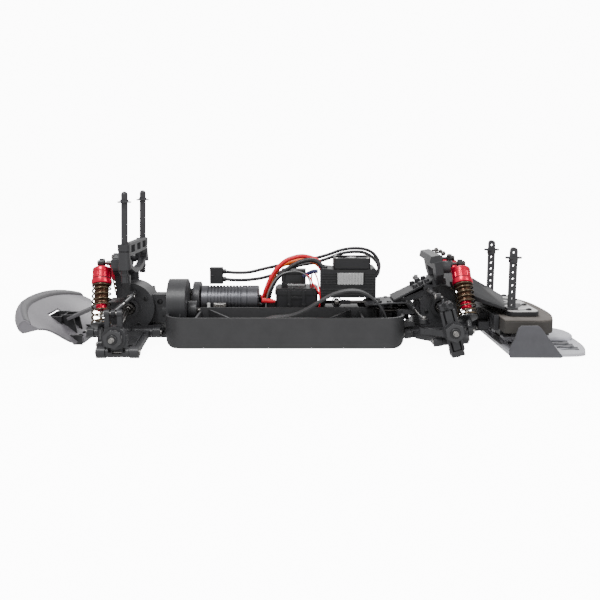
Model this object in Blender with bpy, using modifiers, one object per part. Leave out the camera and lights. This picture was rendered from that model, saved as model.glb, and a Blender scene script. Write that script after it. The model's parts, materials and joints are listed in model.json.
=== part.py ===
"""Rolling chassis of a four wheel drive radio controlled touring car, without wheels and body shell.

Metres, +Z up, +X towards the front, +Y towards the car's left side. All dimensions below are in
millimetres and are scaled by MM. The right side (-Y) is modelled and copied to the left side.
"""
import math

import bmesh
import bpy
from mathutils import Matrix, Vector

for old in list(bpy.data.objects):
    bpy.data.objects.remove(old, do_unlink=True)

MM = 0.001
SEG = 10              # sides of an ordinary round piece
GAP = 0.4             # clearance between pieces that touch

# Driving dimensions
REAR_AXLE = (-184.5, 21.2)      # X, Z
FRONT_AXLE = (154.5, 27.7)
TRACK_FACE = 103.0              # outer face of the wheel hexes
HEX_AF = 17.0
TUB = (-141.5, 112.0, 62.0, 3.2, 35.7)   # X0, X1, half width, bottom, top of the guards
FLOOR = 3.0
TRAY_WALL_Y = -8.0
REAR_HINGE = (-28.0, 14.5)      # Y, Z of the lower hinge line
REAR_OUTER_Y = -92.5
REAR_DROOP = 7.4                # degrees that the rear arm hangs below level
FRONT_HINGE = (155.0, -28.0, 16.2)
KICK_UP = 5.65                  # degrees, front hinge line against the ground
FRONT_OUTER_Y = -80.0
CASTER = 15.6
KINGPIN = (153.5, -90.0, 27.7)
SPUR_Z = 33.5
SPUR_TEETH, PINION_TEETH = 49, 20
MOTOR_Y, MOTOR_Z = 34.3, 39.0
R_SHOCK_TOP, R_SHOCK_LOW = (-209.0, -32.0, 90.0), (-204.0, -72.0, 10.0)
F_SHOCK_TOP, F_SHOCK_LOW = (171.5, -30.0, 89.0), (175.6, -72.0, 24.0)
R_LINK_IN, R_LINK_OUT = (-177.0, -40.0, 55.0), (-185.3, -90.0, 46.0)
F_LINK_IN, F_LINK_OUT = (139.0, -40.0, 60.0), (141.0, -79.0, 60.5)
TIE_IN, TIE_OUT = (122.0, -25.0, 42.0), (127.5, -75.0, 35.0)
POST_Y = 48.0

scene = bpy.context.scene
PARTS = bpy.data.collections.new("rc_touring_chassis")
HELP = bpy.data.collections.new("cutters")
scene.collection.children.link(PARTS)
scene.collection.children.link(HELP)


def paint(name, colour, rough, metal=0.0):
    m = bpy.data.materials.new(name)
    m.use_nodes = True
    b = m.node_tree.nodes["Principled BSDF"]
    b.inputs["Base Color"].default_value = (*colour, 1)
    b.inputs["Roughness"].default_value = rough
    b.inputs["Metallic"].default_value = metal
    return m


PLASTIC = dict(colour=(0.05, 0.05, 0.053), rough=0.55)
GREY = dict(colour=(0.24, 0.23, 0.25), rough=0.5)
RED = dict(colour=(0.62, 0.02, 0.06), rough=0.3, metal=1.0)
STEEL = dict(colour=(0.6, 0.6, 0.6), rough=0.3, metal=1.0)
SPRING = dict(colour=(0.2, 0.17, 0.15), rough=0.35, metal=1.0)
DARKMETAL = dict(colour=(0.1, 0.1, 0.11), rough=0.4, metal=1.0)
FOAM = dict(colour=(0.09, 0.085, 0.08), rough=0.9)
RUBBER = dict(colour=(0.03, 0.03, 0.03), rough=0.6)
PALE = dict(colour=(0.6, 0.6, 0.6), rough=0.4)


# ---------- shapes ----------
def keep(bm, name="shape"):
    me = bpy.data.meshes.new(name)
    bm.to_mesh(me)
    bm.free()
    ob = bpy.data.objects.new(name, me)
    HELP.objects.link(ob)
    return ob


def box(x0, x1, y0, y1, z0, z1):
    bm = bmesh.new()
    m = Matrix.Translation(Vector(((x0 + x1) / 2, (y0 + y1) / 2, (z0 + z1) / 2)) * MM)
    m = m @ Matrix.Diagonal(((x1 - x0) * MM, (y1 - y0) * MM, (z1 - z0) * MM, 1))
    bmesh.ops.create_cube(bm, size=1, matrix=m)
    return keep(bm)


def rod(p, q, r, r2=None, n=None, roll=0.0):
    p, q = Vector(p), Vector(q)
    d = q - p
    turn = d.to_track_quat("Z", "Y").to_matrix().to_4x4() @ Matrix.Rotation(math.radians(roll), 4, "Z")
    bm = bmesh.new()
    bmesh.ops.create_cone(bm, cap_ends=True, segments=n or SEG, radius1=r * MM,
                          radius2=(r if r2 is None else r2) * MM, depth=d.length * MM,
                          matrix=Matrix.Translation((p + q) / 2 * MM) @ turn)
    return keep(bm)


def ball(p, r, n=8):
    bm = bmesh.new()
    bmesh.ops.create_uvsphere(bm, u_segments=n, v_segments=max(6, n * 2 // 3), radius=r * MM,
                              matrix=Matrix.Translation(Vector(p) * MM))
    return keep(bm)


def beam(p, q, w, h, up=(0, 0, 1)):
    """A bar of rectangular section from p to q: w across, h along up."""
    p, q = Vector(p), Vector(q)
    d = (q - p)
    a = d.normalized()
    b = Vector(up).cross(a).normalized()
    c = a.cross(b)
    m = Matrix((a * d.length, b * w, c * h)).transposed().to_4x4()
    m = Matrix.Translation((p + q) / 2 * MM) @ Matrix.Diagonal((MM, MM, MM, 1)) @ m
    bm = bmesh.new()
    bmesh.ops.create_cube(bm, size=1, matrix=m)
    return keep(bm)


def settle(ob):
    """The evaluated mesh of an object, welded, as a new mesh object."""
    bpy.context.view_layer.update()
    graph = bpy.context.evaluated_depsgraph_get()
    me = bpy.data.meshes.new_from_object(ob.evaluated_get(graph))
    bm = bmesh.new()
    bm.from_mesh(me)
    bm.transform(ob.matrix_world)
    bmesh.ops.remove_doubles(bm, verts=bm.verts, dist=1e-6)
    bmesh.ops.recalc_face_normals(bm, faces=bm.faces)
    bm.to_mesh(me)
    bm.free()
    new = bpy.data.objects.new(ob.name, me)
    HELP.objects.link(new)
    bpy.data.objects.remove(ob, do_unlink=True)
    return new


def plate(points, axis, a, b):
    """A flat outline extruded from a to b along an axis. Points are (x,y), (x,z) or (y,z)."""
    cu = bpy.data.curves.new("outline", "CURVE")
    cu.dimensions = "2D"
    cu.fill_mode = "BOTH"
    cu.extrude = abs(b - a) / 2 * MM
    sp = cu.splines.new("POLY")
    sp.points.add(len(points) - 1)
    for pt, (u, v) in zip(sp.points, points):
        pt.co = (u * MM, v * MM, 0, 1)
    sp.use_cyclic_u = True
    ob = bpy.data.objects.new("outline", cu)
    HELP.objects.link(ob)
    mid = (a + b) / 2 * MM
    if axis == "Z":
        ob.matrix_world = Matrix.Translation((0, 0, mid))
    elif axis == "Y":
        ob.matrix_world = Matrix.Translation((0, mid, 0)) @ Matrix.Rotation(math.pi / 2, 4, "X")
    else:
        ob.matrix_world = Matrix(((0, 0, 1, mid), (1, 0, 0, 0), (0, 1, 0, 0), (0, 0, 0, 1)))
    return settle(ob)


def rounded(x0, x1, y0, y1, r, n=5):
    out = []
    for cx, cy, a0 in ((x1 - r, y1 - r, 0), (x0 + r, y1 - r, 90), (x0 + r, y0 + r, 180), (x1 - r, y0 + r, 270)):
        for i in range(n + 1):
            a = math.radians(a0 + 90 * i / n)
            out.append((cx + r * math.cos(a), cy + r * math.sin(a)))
    return out


def tube(points, r, res=2, smooth=True):
    """A wire through points, read from a smooth curve."""
    pts = spline(points, 2.6 * 2 * r) if smooth else points
    cu = bpy.data.curves.new("wire", "CURVE")
    cu.dimensions = "3D"
    cu.bevel_depth = r * MM
    cu.bevel_resolution = res
    cu.use_fill_caps = True
    sp = cu.splines.new("POLY")
    sp.points.add(len(pts) - 1)
    for pt, p in zip(sp.points, pts):
        pt.co = (p[0] * MM, p[1] * MM, p[2] * MM, 1)
    ob = bpy.data.objects.new("wire", cu)
    HELP.objects.link(ob)
    return settle(ob)


def spline(points, step):
    """Points at an even spacing along a Catmull-Rom curve through the given points."""
    p = [Vector(q) for q in points]
    p = [2 * p[0] - p[1]] + p + [2 * p[-1] - p[-2]]
    fine = []
    for i in range(1, len(p) - 2):
        for k in range(24):
            t = k / 24
            fine.append(0.5 * ((2 * p[i]) + (p[i + 1] - p[i - 1]) * t
                               + (2 * p[i - 1] - 5 * p[i] + 4 * p[i + 1] - p[i + 2]) * t * t
                               + (3 * p[i] - p[i - 1] - 3 * p[i + 1] + p[i + 2]) * t ** 3))
    fine.append(p[-2])
    length = sum((b - a).length for a, b in zip(fine, fine[1:]))
    n = max(4, round(length / step))
    out, want, run = [fine[0]], length / n, 0.0
    for a, b in zip(fine, fine[1:]):
        d = (b - a).length
        while run + d >= want - 1e-9 and len(out) < n:
            out.append(a.lerp(b, (want - run) / d))
            want += length / n
        run += d
    out.append(fine[-1])
    return out


def fuse(base, *adds, cut=()):
    """Boolean union with adds, then difference with cut, one after the other."""
    for mode, group in (("UNION", adds), ("DIFFERENCE", cut)):
        for other in group:
            mod = base.modifiers.new("b", "BOOLEAN")
            mod.operation = mode
            mod.object = other
            base = settle(base)
            bpy.data.objects.remove(other, do_unlink=True)
    return base


def lathe(profile, p, d, n=SEG):
    """A turned piece: (radius, distance) points along direction d from p, both ends on the axis."""
    bm = bmesh.new()
    vs = [bm.verts.new((r * MM, 0, -t * MM)) for r, t in profile]
    for a, b in zip(vs, vs[1:]):
        bm.edges.new((a, b))
    ob = keep(bm)
    mod = ob.modifiers.new("turn", "SCREW")
    mod.axis = "Z"
    mod.steps = mod.render_steps = n
    mod.use_merge_vertices = True
    mod.merge_threshold = 1e-5
    ob = settle(ob)
    turn = (-Vector(d)).to_track_quat("Z", "Y").to_matrix().to_4x4()
    ob.data.transform(Matrix.Translation(Vector(p) * MM) @ turn)
    return ob


def common(base, other):
    mod = base.modifiers.new("b", "BOOLEAN")
    mod.operation = "INTERSECT"
    mod.object = other
    new = settle(base)
    bpy.data.objects.remove(other, do_unlink=True)
    return new


def turned(ob, degrees, axis, about):
    about = Vector(about) * MM
    ob.data.transform(Matrix.Translation(about) @ Matrix.Rotation(math.radians(degrees), 4, axis) @ Matrix.Translation(-about))
    return ob


def node(name, shape, look, origin=(0, 0, 0)):
    me = shape.data
    me.transform(Matrix.Translation(-Vector(origin) * MM))
    me.materials.clear()
    me.materials.append(paint(name + "_finish", **look))
    me.shade_smooth()
    me.set_sharp_from_angle(angle=math.radians(35))
    me.name = name
    ob = bpy.data.objects.new(name, me)
    ob.location = Vector(origin) * MM
    PARTS.objects.link(ob)
    bpy.data.objects.remove(shape, do_unlink=True)
    return ob


def left_copy(name, right):
    me = right.data.copy()
    me.transform(Matrix.Diagonal((1, -1, 1, 1)))
    me.flip_normals()
    me.name = name
    ob = bpy.data.objects.new(name, me)
    x, y, z = right.location
    ob.location = (x, -y, z)
    PARTS.objects.link(ob)
    return ob


def both(stem, shape, look, origin):
    right = node(stem + "_right", shape, look, origin)
    return right, left_copy(stem + "_left", right)


# ---------- chassis tub ----------
x0, x1, hw, z0, z1 = TUB
tub = common(plate(rounded(x0, x1, -hw, hw, 22), "Z", z0, z1),
             plate(rounded(x0, x1, z0, z1 + 40, 11), "Y", -hw - 1, hw + 1))
wall = 2.6
hollow = common(plate(rounded(x0 + wall, x1 - wall, -hw + wall, hw - wall, 20), "Z", z0 + FLOOR, z1 + 20),
                plate(rounded(x0 + wall, x1 - wall, z0 + FLOOR, z1 + 50, 9.5), "Y", -hw, hw))
tub = fuse(tub, cut=(hollow, box(x0 - 2, x0 + 9, 28, 51, 22, 50), box(x0 - 2, x0 + 14, -30, 30, 10.8, 50), box(x1 - 14, x1 + 2, -30, 30, 10.8, 50)))
front_plate = turned(box(104, 206, -22, 22, 6.2, 9.2), -KICK_UP, "Y", (112, 0, 9.2))
tub = fuse(tub,
           box(-232, -138, -22, 22, 7.2, 10.2),
           front_plate,
           box(-109, 85.5, TRAY_WALL_Y - 1.1, TRAY_WALL_Y + 1.1, 5, 38.2),
           box(-109.2, -107, -60, TRAY_WALL_Y, 5, 34.5),
           box(66, 68.2, -60, TRAY_WALL_Y, 5, 34.5),
           beam((-99, -7.5, 20.5), (-73, -60, 20.5), 2.2, 31),
           beam((57, -7.5, 20.5), (33, -60, 20.5), 2.2, 31))
node("chassis_tub", tub, PLASTIC)

# ---------- rear gear case ----------
ax, az = REAR_AXLE[0], 39.5
case = fuse(rod((ax, -18, az), (ax, 18, az), 27, n=24),
            rod((ax, -22, az), (ax, 22, az), 10.5),
            box(-166, -146.5, -11, 11, 22, 53),
            rod((-150, 0, SPUR_Z), (-146.2, 0, SPUR_Z), 12.5),
            box(-229, -150, -19.5, 19.5, 10.6, 20),
            box(-228.7, -222, -33, 33, 11.5, 17.5), rod((-229, -28, 14.5), (-221.3, -28, 14.5), 5.4), rod((-229, 28, 14.5), (-221.3, 28, 14.5), 5.4),
            box(-157.5, -150.3, -33, 33, 11.5, 17.5), rod((-157.8, -28, 14.5), (-149.8, -28, 14.5), 5.4), rod((-157.8, 28, 14.5), (-149.8, 28, 14.5), 5.4),
            cut=(box(-215, -190.2, -30, 30, 45.5, 70),))
node("rear_gearbox_case", case, PLASTIC)

# ---------- spur gear, its cover, the pinion ----------


def gear(teeth, root, tip, a, b, y, z, phase, thick=0.36):
    pts = []
    for i in range(teeth):
        for k, r in ((-0.5 * thick - 0.13, root), (-0.5 * thick + 0.05, tip), (0.5 * thick - 0.05, tip), (0.5 * thick + 0.13, root)):
            t = 2 * math.pi * (i + phase + k) / teeth
            pts.append((y + r * math.cos(t), z + r * math.sin(t)))
    return plate(pts, "X", a, b)


centre = math.hypot(MOTOR_Y, MOTOR_Z - SPUR_Z)
lean = math.atan2(MOTOR_Z - SPUR_Z, MOTOR_Y)
spur = fuse(gear(SPUR_TEETH, 23.1, 25.1, -134, -127.5, 0, SPUR_Z, SPUR_TEETH * lean / (2 * math.pi)),
            rod((-145.7, 0, SPUR_Z), (112, 0, SPUR_Z), 3.0, n=12),
            rod((-145.7, 0, SPUR_Z), (-136.5, 0, SPUR_Z), 6, n=12),
            rod((-128, 0, SPUR_Z), (-118, 0, SPUR_Z), 6, n=12),
            rod((110.5, 0, SPUR_Z), (114.0, 0, SPUR_Z), 6, n=12))
node("spur_gear_shaft", spur, STEEL, (0, 0, SPUR_Z))
pin = fuse(gear(PINION_TEETH, 8.6, 10.7, -135, -126.5, MOTOR_Y, MOTOR_Z,
                PINION_TEETH * (lean + math.pi) / (2 * math.pi) + 0.5),
           rod((-127.5, MOTOR_Y, MOTOR_Z), (-123.8, MOTOR_Y, MOTOR_Z), 6, n=12))
node("pinion_gear", pin, STEEL, (0, MOTOR_Y, MOTOR_Z))
cover = fuse(rod((-143.3, 0, 39.5), (-123, 0, 39.5), 29.5, n=24),
             rod((-138.8, MOTOR_Y, MOTOR_Z), (-123.3, MOTOR_Y, MOTOR_Z), 14.5, n=14),
             cut=(box(-150, -118, -40, 60, -5, 29.2),
                  rod((-141.3, 0, 39.5), (-125, 0, 39.5), 27.5, n=24),
                  rod((-137.2, MOTOR_Y, MOTOR_Z), (-125.2, MOTOR_Y, MOTOR_Z), 12.8, n=14),
                  rod((-146, 0, SPUR_Z), (-120, 0, SPUR_Z), 8), box(-150, -118, -8, 8, 8, SPUR_Z),
                  rod((-130, MOTOR_Y, MOTOR_Z), (-120, MOTOR_Y, MOTOR_Z), 7.5), box(-126, -118, MOTOR_Y - 7.5, MOTOR_Y + 7.5, 8, MOTOR_Z)))
node("spur_gear_cover", cover, PLASTIC)

# ---------- motor and its mount ----------
mount = fuse(rod((-120.8, MOTOR_Y, MOTOR_Z), (-112.6, MOTOR_Y, MOTOR_Z), 22.5, n=24),
             box(-120.8, -112.6, MOTOR_Y - 18, MOTOR_Y + 18, 6.6, 24),
             cut=(rod((-123, MOTOR_Y, MOTOR_Z), (-110, MOTOR_Y, MOTOR_Z), 8.5),))
node("motor_mount", mount, PLASTIC)
profile = [(0, 0), (16.8, 0), (18, 1.2), (18, 65), (17, 66.2), (0, 66.2)]
motor = lathe(profile, (-112.2, MOTOR_Y, MOTOR_Z), (1, 0, 0), 20)
node("motor_can", motor, DARKMETAL)

# ---------- rear shock tower with the body post sockets ----------
tower = plate([(-26, 52), (-19.2, 52), (-19.2, 64), (-12, 69.5), (12, 69.5), (19.2, 64), (19.2, 52), (26, 52), (26, 62), (31, 76), (41, 83), (41, 96),
               (28, 97), (15, 88), (-15, 88), (-28, 97), (-41, 96), (-41, 83), (-31, 76), (-26, 62)], "X", -196.5, -190.6)
arch = plate([(-47, 94), (-34, 88), (-18, 83.5), (0, 82), (18, 83.5), (34, 88), (47, 94), (47, 89), (34, 83), (18, 78.5), (0, 77), (-18, 78.5), (-34, 83), (-47, 89)],
             "X", -184, -176.5)
adds = [arch, box(-183, -176, -46, 46, 98.5, 112)]
cuts = []
for s in (-1, 1):
    adds += [box(-196.5, -181.8, min(s * 19.2, s * 26), max(s * 19.2, s * 26), 52, 76),
             rod((-198.2, s * 32, 90), (-186, s * 32, 90), 5.4),
             rod((-203, s * 32, 90), (-214, s * 32, 90), 1.7, n=8), rod((-198, s * 32, 90), (-204, s * 32, 90), 2.6, n=8),
             box(-196, -182, min(s * 36, s * 48), max(s * 36, s * 48), 86, 95),
             rod((-182, s * POST_Y, 84.5), (-182, s * POST_Y, 104), 6.8, 5.9),
             rod((-181.5, s * POST_Y, 103.5), (-181.5, s * POST_Y, 111), 6.4),
             beam((-184, s * 22.5, 55), (-176, s * 22.5, 55), 8, 8), rod((-177, s * 24, 55), (-177, s * 35.6, 55), 2.0, n=10)]
    cuts += [rod((-182.6, s * POST_Y, 68), (-180.9, s * POST_Y, 122), 3.95),
             box(-190, -170, s * 30 - 9, s * 30 + 9, 101.5, 109), ]
cuts.append(box(-190, -170, -16, 16, 101.5, 109))
tower = fuse(tower, *adds, cut=cuts)
node("rear_shock_tower", tower, PLASTIC)
post = fuse(rod((-182.5, -POST_Y, 70.8), (-179.6, -POST_Y, 163.0), 3.5),
            ball((-179.6, -POST_Y, 162.3), 3.45), rod((-179.9, -POST_Y, 154), (-179.85, -POST_Y, 155.6), 7.2))
both("rear_body_post", post, PLASTIC, (-182.5, -POST_Y, 70.8))

# ---------- rear bumper and diffuser ----------


def bumper_point(y, k):
    """Point k of the section at y: the floor, the rim and the outer skin of the rear bumper."""
    a = abs(y) / 100
    t = max(0.0, (abs(y) - 30) / 70)
    s = t * t * (3 - 2 * t)
    xf, zf = -238 - 20 * t ** 1.2, 3.4 + 27 * s
    xr, zr = -290.5 + 25.5 * a ** 2.2, 44 - 10 * a ** 3
    if k <= 6:
        u = k / 6
        return (xf + (xr - xf) * u, y, zf + (zr - zf) * u)
    dx, dz = [(-1.5, 3.2), (-4.5, 5.6), (-8, 5.0), (-11, 0), (-12, -8), (-10, -15), (-6, -20)][k - 7]
    return (xr + dx, y, zr + dz * (1 - 0.25 * a ** 4 if dz > 0 else 1 - 0.62 * a * a))


rows = [-98, -92, -80, -64, -46, -31, -12, 12, 31, 46, 64, 80, 92, 98]
bm = bmesh.new()
bmesh.ops.create_grid(bm, x_segments=len(rows) - 1, y_segments=13, size=1)
bm.verts.ensure_lookup_table()
for v in bm.verts:
    i, k = round((v.co.x + 1) / 2 * (len(rows) - 1)), round((v.co.y + 1) / 2 * 13)
    v.co = Vector(bumper_point(rows[i], k)) * MM
skin = keep(bm)
mod = skin.modifiers.new("thick", "SOLIDIFY")
mod.thickness = 2.4 * MM
mod.offset = 0
mod.use_even_offset = True
skin = settle(skin)
hole = turned(box(-274, -260, -18.7, 18.7, 10, 70), 8, "Y", (-267, 0, 34))
skin = fuse(skin, box(-246, -233.5, -26, 26, 1.6, 8.5),
            beam((-254, -11, 26), (-214, -11, 43), 11, 3.6), beam((-254, 11, 26), (-214, 11, 43), 11, 3.6),
            plate([(-268, 24), (-252, 10), (-244, 5), (-248.5, 30.5), (-262, 30.5)], "Y", -12.6, -9.4),
            plate([(-268, 24), (-252, 10), (-244, 5), (-248.5, 30.5), (-262, 30.5)], "Y", 9.4, 12.6),
            plate([(-252, 12), (-243, 1), (-233.5, 1), (-233.5, 12)], "Y", -33, -30.6),
            plate([(-252, 12), (-243, 1), (-233.5, 1), (-233.5, 12)], "Y", 30.6, 33),
            plate([bumper_point(98, k)[::2] for k in range(14)], "Y", -97.3, -94.9),
            plate([bumper_point(98, k)[::2] for k in range(14)], "Y", 94.9, 97.3),
            cut=(hole,))
node("rear_bumper", skin, GREY)

# ---------- front gear case and bulkhead ----------


def line_z(x):
    return FRONT_HINGE[2] + math.tan(math.radians(KICK_UP)) * (x - FRONT_HINGE[0])


fx = FRONT_AXLE[0]
base = turned(box(114.5, 205, -19, 19, 9.7, 18), -KICK_UP, "Y", (112, 0, 9.2))
adds = [rod((fx, -17.5, 41), (fx, 17.5, 41), 22.5, n=24), rod((fx, -21, 41), (fx, 21, 41), 11),
        box(128, 140, -10, 10, 20, 46), rod((114.6, 0, SPUR_Z), (129, 0, SPUR_Z), 5.5),
        box(204, 209.4, -55, 55, 21.5, 37.5), box(196, 207, -19, 19, 20, 34)]
for s in (-1, 1):
    adds += [rod((114.6, s * 28, line_z(114.6)), (121, s * 28, line_z(121)), 5.2),
             box(114.8, 120.4, min(0, s * 29), max(0, s * 29), 11.9, 15),
             box(192.3, 203.7, min(s * 18, s * 36), max(s * 18, s * 36), 19.2, 27.2)]
case = fuse(base, *adds)
node("front_gearbox_case", case, PLASTIC)

# ---------- front shock tower and top brace ----------
ft = plate([(-20, 50), (20, 50), (24, 66), (38, 78), (40, 92), (34, 97), (-34, 97), (-40, 92), (-38, 78), (-24, 66)], "X", 151, 159)
ft = fuse(ft, box(148, 162, -24, -17.8, 48, 72), box(148, 162, 17.8, 24, 48, 72), cut=(rod((140, 0, 41.5), (175, 0, 41.5), 12), plate([(-13, 60), (13, 60), (20, 84), (-20, 84)], "X", 140, 170)))
ft = turned(ft, -11, "Y", (155, 0, 50))
ft = fuse(ft, box(138, 151, -39, 39, 90, 97.5))
adds = []
for s in (-1, 1):
    adds += [rod((146, s * 30, 85.5), (161, s * 30, 85.5), 6.6), rod((160, s * 30, 89), (176.5, s * 30, 89), 1.7, n=8), rod((159, s * 30, 88.3), (165.5, s * 30, 88.8), 2.8, n=10),
             rod((139, s * 18, 60), (139, s * 35.6, 60), 2.0, n=10), box(136, 152, min(s * 15, s * 22), max(s * 15, s * 22), 55, 65)]
bm = bmesh.new()
for x, y, z in [(151, 24, 68), (151, 24, 59), (183, 30, 62), (183, 30, 57), (196, 38, 52), (196, 38, 48), (215, 54, 45.6), (215, 54, 43.4),
                (150, 0, 79), (189, 0, 72), (226, 0, 50.5), (227, 0, 43.4), (218, 44, 43.4), (218, 40, 47)]:
    for s in ((-1, 1) if y else (1,)):
        bm.verts.new(Vector((x, s * y, z)) * MM)
bmesh.ops.convex_hull(bm, input=bm.verts)
brace = keep(bm)
ft = fuse(ft, *adds, brace, cut=(rod((fx, -30, 41), (fx, 30, 41), 23.4, n=24), box(165.0, 198, -26, 26, 40, 58), box(163, 177, -43, -20.5, 50, 82), box(163, 177, 20.5, 43, 50, 82)))
node("front_shock_tower", ft, PLASTIC)

# ---------- foam bumper, plate, posts, splitter ----------
edge = [(210, -76)]
for i in range(13):
    y = -80 + 160 * i / 12
    edge.append((270 - 14 * (abs(y) / 80) ** 3 - (8 if abs(y) > 79 else 0), y))
edge += [(210, 76)]
foam = plate(edge, "Z", 22, 36.7)
node("bumper_foam", foam, FOAM)
top = plate(rounded(217.5, 251, -60, 60, 8), "Z", 37.1, 42.6)
node("front_body_plate", top, PALE)
px = 223.5
post = fuse(plate([(px - 3.7, 42.9), (px + 3.7, 42.9), (px + 3.9, 104), (px + 2.9, 107), (px + 0.2, 108.2), (px - 2.5, 107), (px - 3.5, 104)], "Y", -POST_Y - 2.8, -POST_Y + 2.8),
            plate(rounded(px - 8.5, px + 8.9, -POST_Y - 5, -POST_Y + 5, 4.9, 4), "Z", 96.4, 98.2),
            cut=[rod((px + 0.1, -POST_Y - 6, 50 + 6.9 * i), (px + 0.1, -POST_Y + 6, 50 + 6.9 * i), 1.3, n=6) for i in range(8) if not 94 < 50 + 6.9 * i < 100])
both("front_body_post", post, PLASTIC, (px, -POST_Y, 42.9))

half = [(212, 0), (212, 88)]
front = [(262, 91), (283, 90), (291, 84), (297, 66), (301.5, 40), (303.5, 0)]
out = [(x, -y) for x, y in [(214, 91), *front[:-1]]] + [(303.5, 0)] + [(x, y) for x, y in reversed([(214, 91), *front[:-1]])]
tray = plate(out, "Z", 1.2, 4.6)
pad = plate([(222, -28), (290, -28), (300, -22), (303.5, 0), (300, 22), (290, 28), (222, 28)], "Z", 3.5, 9)
fence = [(213, 0.2), (211.6, 3), (212.2, 11), (217, 20), (220, 30.5), (223, 32.9), (240, 32.9), (243, 30.5), (262, 6), (266, 1.2), (264, 0)]
tray = fuse(tray, pad, plate(fence, "Y", -91.5, -88.7), plate(fence, "Y", 88.7, 91.5),
            box(222, 240, -12, 12, 4, 21.6),
            cut=[box(270, 289, s * y - 4.5, s * y + 4.5, -1, 12) for s in (-1, 1) for y in (36, 52, 68)])
node("front_splitter", tray, dict(colour=(0.2, 0.2, 0.21), rough=0.45))

# ---------- servo, receiver box, speed controller ----------
servo = fuse(box(28, 68, 12, 46, 10, 34), box(22, 74, 18, 21, 6.6, 34), rod((42, 12.5, 26), (42, 8.6, 26), 6))
node("steering_servo", servo, PLASTIC)
horn = fuse(rod((42, 4.4, 26), (42, 8.2, 26), 5), beam((42, 6.3, 26), (42, 6.3, 43), 6, 3.6, up=(0, 1, 0)), rod((42, 4.5, 43), (42, 8.1, 43), 3.3, n=12),
            rod((42, 5, 43), (42, -0.4, 43), 1.5, n=8))
node("servo_horn", horn, PLASTIC, (42, 6.3, 26))
link = fuse(rod((42, 0.2, 43), (42, 3.8, 43), 5.6), beam((46, 2, 43), (98, 6, 41), 3.4, 3.4), rod((98, 6, 38), (98, 6, 43.5), 4.2),
            cut=(rod((42, -2, 43), (42, 6, 43), 3.6, n=12),))
node("drag_link", link, PLASTIC, (42, 2, 43))
rack = fuse(box(118.5, 126, -20, 20, 40.5, 43.8), rod((122, -20.6, 42), (122, 20.6, 42), 2.6, n=10))
node("steering_rack", rack, DARKMETAL, (122, 0, 42))
tie = fuse(rod(TIE_IN, TIE_OUT, 1.9, n=10), ball(TIE_IN, 4.0), ball(TIE_OUT, 4.0),
           rod((122.9, -33, 40.9), (126.6, -67, 36.1), 2.5, n=6))
both("tie_rod", tie, STEEL, TIE_IN)

rx = fuse(box(-26, 21, 6, 50, 6.6, 50.5), plate(rounded(-27, 22, 5, 51, 4, 3), "Z", 50, 57), box(-20, 8, 28, 46, 56, 76),
          box(-12.5, -9, 4.1, 6, 38, 55), box(3.5, 7, 4.1, 6, 38, 55))
node("receiver_box", rx, PLASTIC)
fins = [box(44 + 3.2 * i, 45.6 + 3.2 * i, 3.6, 8, 62, 74.5) for i in range(9)]
MOTOR_WIRES = {
    "red": [(-44.6, 26, 45), (-40.5, 25.6, 45.6), (-37.6, 24, 53.4), (-32.9, 24, 64.8), (-26, 24, 76.2), (-17, 24, 85.3), (-7.9, 24, 89.8), (3.5, 24, 92), (14.8, 24, 89.8), (21.6, 24, 86), (26, 24, 76)],
    "black": [(-44.6, 32, 34), (-40.5, 31, 34.3), (-35, 18, 42), (-31, 14, 56), (-23.5, 14, 69), (-10, 14, 80.2), (4.6, 14, 87.4), (19.2, 14, 87.4), (29.3, 14, 77)],
    "orange": [(-44.6, 42, 40), (-40.5, 42, 40.6), (-33, 40, 58), (-23.5, 36, 77), (-12, 35, 83), (-2, 34, 85.5), (10, 33, 86.5), (20, 32, 83), (27, 31, 76)],
}
esc = fuse(box(24.3, 86, 5, 48, 47, 80), box(24.3, 30, 22, 44, 35.5, 48), box(78, 86, 22, 44, 6.6, 48),
           box(43, 72, 6, 9, 61, 75), box(39, 80, 7.5, 47, 79, 91), rod((59.5, 27, 82), (59.5, 27, 84), 5, n=12),
           *fins, *[tube(p, 2.1) for p in MOTOR_WIRES.values()],
           cut=(rod((59.5, 27, 82.2), (59.5, 27, 95), 18.4, n=24),))
esc = fuse(esc, rod((59.5, 27, 81.5), (59.5, 27, 83.4), 4, n=12))
node("esc_case", esc, PLASTIC)
fan = fuse(rod((59.5, 27, 83.8), (59.5, 27, 90.2), 7.5, n=16),
           *[turned(turned(box(59.5 + 6.5, 59.5 + 17, 27 - 0.7, 27 + 4.8, 86.4, 87.6), 28, "X", (59.5, 27, 87)), 360 / 7 * i, "Z", (59.5, 27, 87)) for i in range(7)])
node("cooling_fan", fan, RUBBER, (59.5, 27, 87))

# ---------- battery lead, its connector and the battery strap ----------
LEAD = [(86.5, 44, 70), (90.5, 44, 70.3), (93.5, 46.5, 76), (92, 49, 85), (86, 51, 93), (76, 52, 97.5), (62, 52, 98.3), (48, 52, 96), (34, 52, 91), (18, 52, 86.5), (0, 52, 82),
        (-20, 51, 77), (-40, 48, 71.5), (-58, 46, 68), (-74, 45, 66.5), (-87.9, 45, 67)]
run = spline(LEAD, 11)
node("battery_lead", tube([(86.4, 44, 70), (88.6, 44, 70)] + run[1:-1] + [(-84, 45, 67), (-87.9, 45, 67)], 3.0, smooth=False), RUBBER)
node("battery_connector", fuse(box(-103.5, -88.3, 40.5, 50, 57.6, 77), cut=(box(-106, -94, 42.3, 48.2, 60, 74.6),)), RUBBER)
STRAP = [(-48, 6.8), (-47.5, 16), (-42, 25), (-30.5, 31.8), (-9.4, 34), (6.5, 40.2), (22.3, 49.6), (36, 57), (48.8, 60.7), (60.4, 61.2), (68.9, 59.2), (77.3, 53.9), (85.8, 45.4), (91, 36.9), (94, 25), (95.5, 12), (95.5, 6.8)]
mid = spline([(x, 0, z) for x, z in STRAP], 7)
up, down = [], []
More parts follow.
